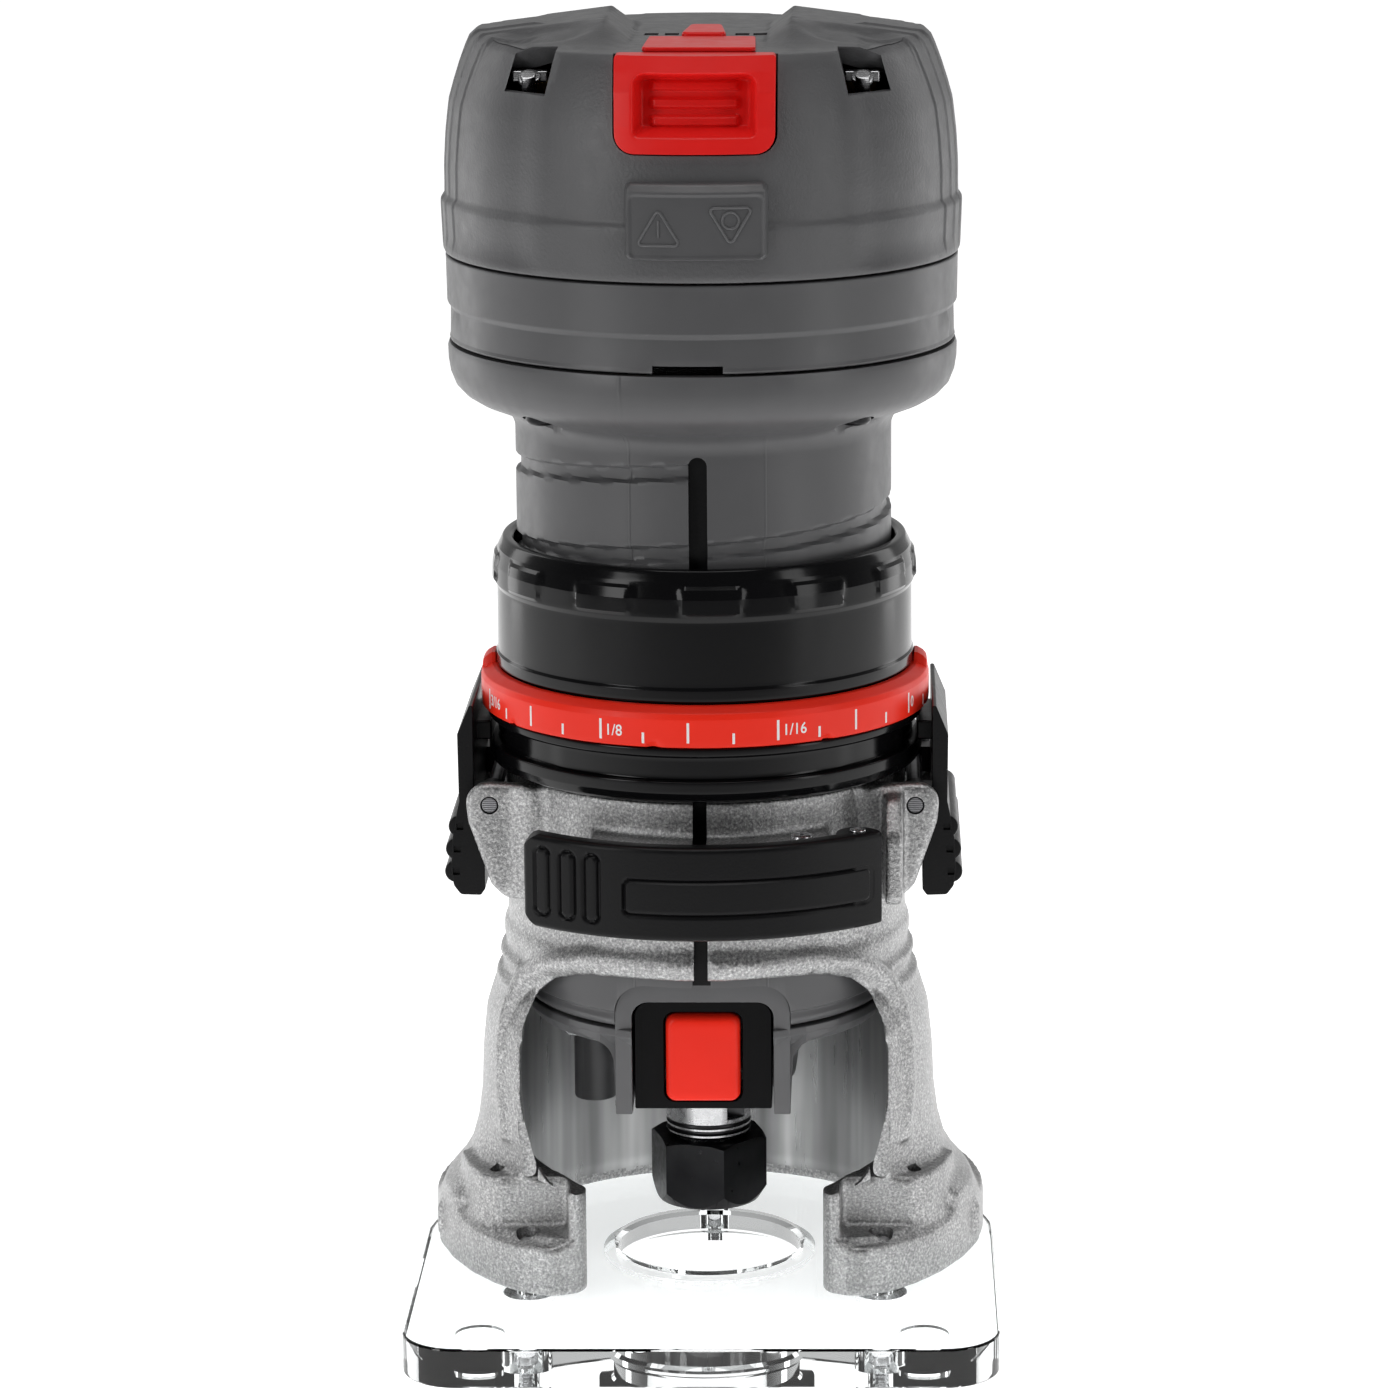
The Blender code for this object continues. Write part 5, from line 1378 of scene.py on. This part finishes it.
# ================================================================== clear sub-base
half = 47.0
po = arc(-38, -43, 9, 180, 270, 12) + arc(38, -43, 9, 270, 360, 12) + arc(0, 5, 47, 0, 180, 64)
plate = prism("plate_body", po, 0, 6.5, 'XY', (CLEAR,), 20)
bevel(plate, 0.35, 2, 50, 20)
seat = revolve("seat", [(0, -3), (17.5, -3), (17.5, 2.4), (15.55, 2.45), (15.1, 2.9), (15.1, 5.4), (15.7, 6.0), (15.7, 9), (0, 9)], 128, closed=False)
cuts(plate, seat, smooth=20)
for x, y in ((-28.3, -23.2), (28.3, -23.2), (0, 43)):
    cuts(plate, cyl("k", 2.1, (x, y, 3), 20, 'Z', seg=32), smooth=20)
    cuts(plate, cyl("k", 4.2, (x, y, 0), 7.2, 'Z', seg=40), smooth=20)
for x in (-35, 35):
    cuts(plate, cyl("k", 4.0, (x, -40, 0), 0.9, 'Z', seg=48), smooth=20)
plate.visible_shadow = False
put(plate, "base", "sub_base_plate", slot="clear_plate")

# ================================================================== carried-over pieces
KEEP = {"stator_core": LAM, "armature_core": LAM, "stator_winding_top": COPPER, "stator_winding_bottom": COPPER,
        "commutator": COPPER, "upper_bearing": STEEL, "lower_bearing": STEEL, "bearing_bracket": GREY_S,
        "brush_holder_left": BRASS, "brush_holder_right": BRASS, "carbon_brush_left": CARBON, "carbon_brush_right": CARBON,
        "brush_spring_left": STEEL, "brush_spring_right": STEEL, "switch_module": SATIN, "cooling_fan": SATIN,
        "lock_pin": STEEL, "lock_spring": STEEL, "latch_spring_left": STEEL, "latch_spring_right": STEEL,
        "motor_key_pin": STEEL}
for nm, mt in KEEP.items():
    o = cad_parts[nm]
    for sl in o.material_slots:
        sl.material = mt

# ================================================================== stage and light
bmf = bmesh.new()
bmesh.ops.create_grid(bmf, x_segments=2, y_segments=2, size=3.0)
floor = from_bm("floor", bmf, (), 0, 1.0)
fm, nt, b = new_mat("floor_pale")
fn = noise(nt, 3.0, 2.0)
fc = ramp(nt, fn.outputs[0], [(0.3, (0.80, 0.80, 0.80)), (0.7, (0.82, 0.82, 0.82))])
nt.links.new(fc.outputs[0], b.inputs["Base Color"])
b.inputs["Roughness"].default_value = 0.8
b.inputs["Specular IOR Level"].default_value = 0.0
# a light table: it glows under and behind the object, and fades out in front
ftc = node(nt, "ShaderNodeTexCoord")
fsep = node(nt, "ShaderNodeSeparateXYZ")
nt.links.new(ftc.outputs["Object"], fsep.inputs[0])
fade = maprange(nt, fsep.outputs[1], -0.42, -0.16, 0.0, 0.95)
nt.links.new(fade.outputs[0], b.inputs["Emission Strength"])
b.inputs["Emission Color"].default_value = (1, 1, 1, 1)
floor.data.materials.append(fm)
floor.location.z = -0.0002

world = bpy.data.worlds.new("world")
scene.world = world
world.use_nodes = True
wn = world.node_tree
bg = wn.nodes["Background"]
wtc = node(wn, "ShaderNodeTexCoord")
wsep = node(wn, "ShaderNodeSeparateXYZ")
wn.links.new(wtc.outputs["Generated"], wsep.inputs[0])
wr = ramp(wn, maprange(wn, wsep.outputs[1], -1.0, 1.0, 0.0, 1.0).outputs[0],
          [(0.0, (0.05, 0.05, 0.05)), (0.45, (0.08, 0.08, 0.08)), (0.75, (0.25, 0.25, 0.25)),
           (0.9, (0.50, 0.50, 0.50))])
wn.links.new(wr.outputs[0], bg.inputs[0])
bg.inputs[1].default_value = 1.0


def area(name, loc, target, sx, sy, power):
    l = bpy.data.lights.new(name, 'AREA')
    l.shape = 'RECTANGLE'
    l.size = sx
    l.size_y = sy
    l.energy = power
    o = bpy.data.objects.new(name, l)
    scene.collection.objects.link(o)
    o.location = loc
    o.rotation_euler = (Vector(target) - Vector(loc)).to_track_quat('-Z', 'Y').to_euler()
    return o


area("key_left", (-0.52, -0.52, 0.34), (0, 0, 0.12), 0.20, 0.55, 1.5)
area("key_right", (0.60, -0.40, 0.30), (0, 0, 0.12), 0.16, 0.70, 1.0)
area("rim_left", (-0.46, 0.30, 0.22), (0, 0, 0.11), 0.14, 0.60, 0.55)
area("rim_right", (0.46, 0.30, 0.22), (0, 0, 0.11), 0.14, 0.60, 0.55)
area("top", (0.0, -0.20, 0.95), (0, 0, 0.0), 0.6, 0.5, 2.5)

scene.view_settings.view_transform = 'Standard'
scene.view_settings.look = 'None'
scene.view_settings.exposure = 0.0
scene.view_settings.gamma = 1.0
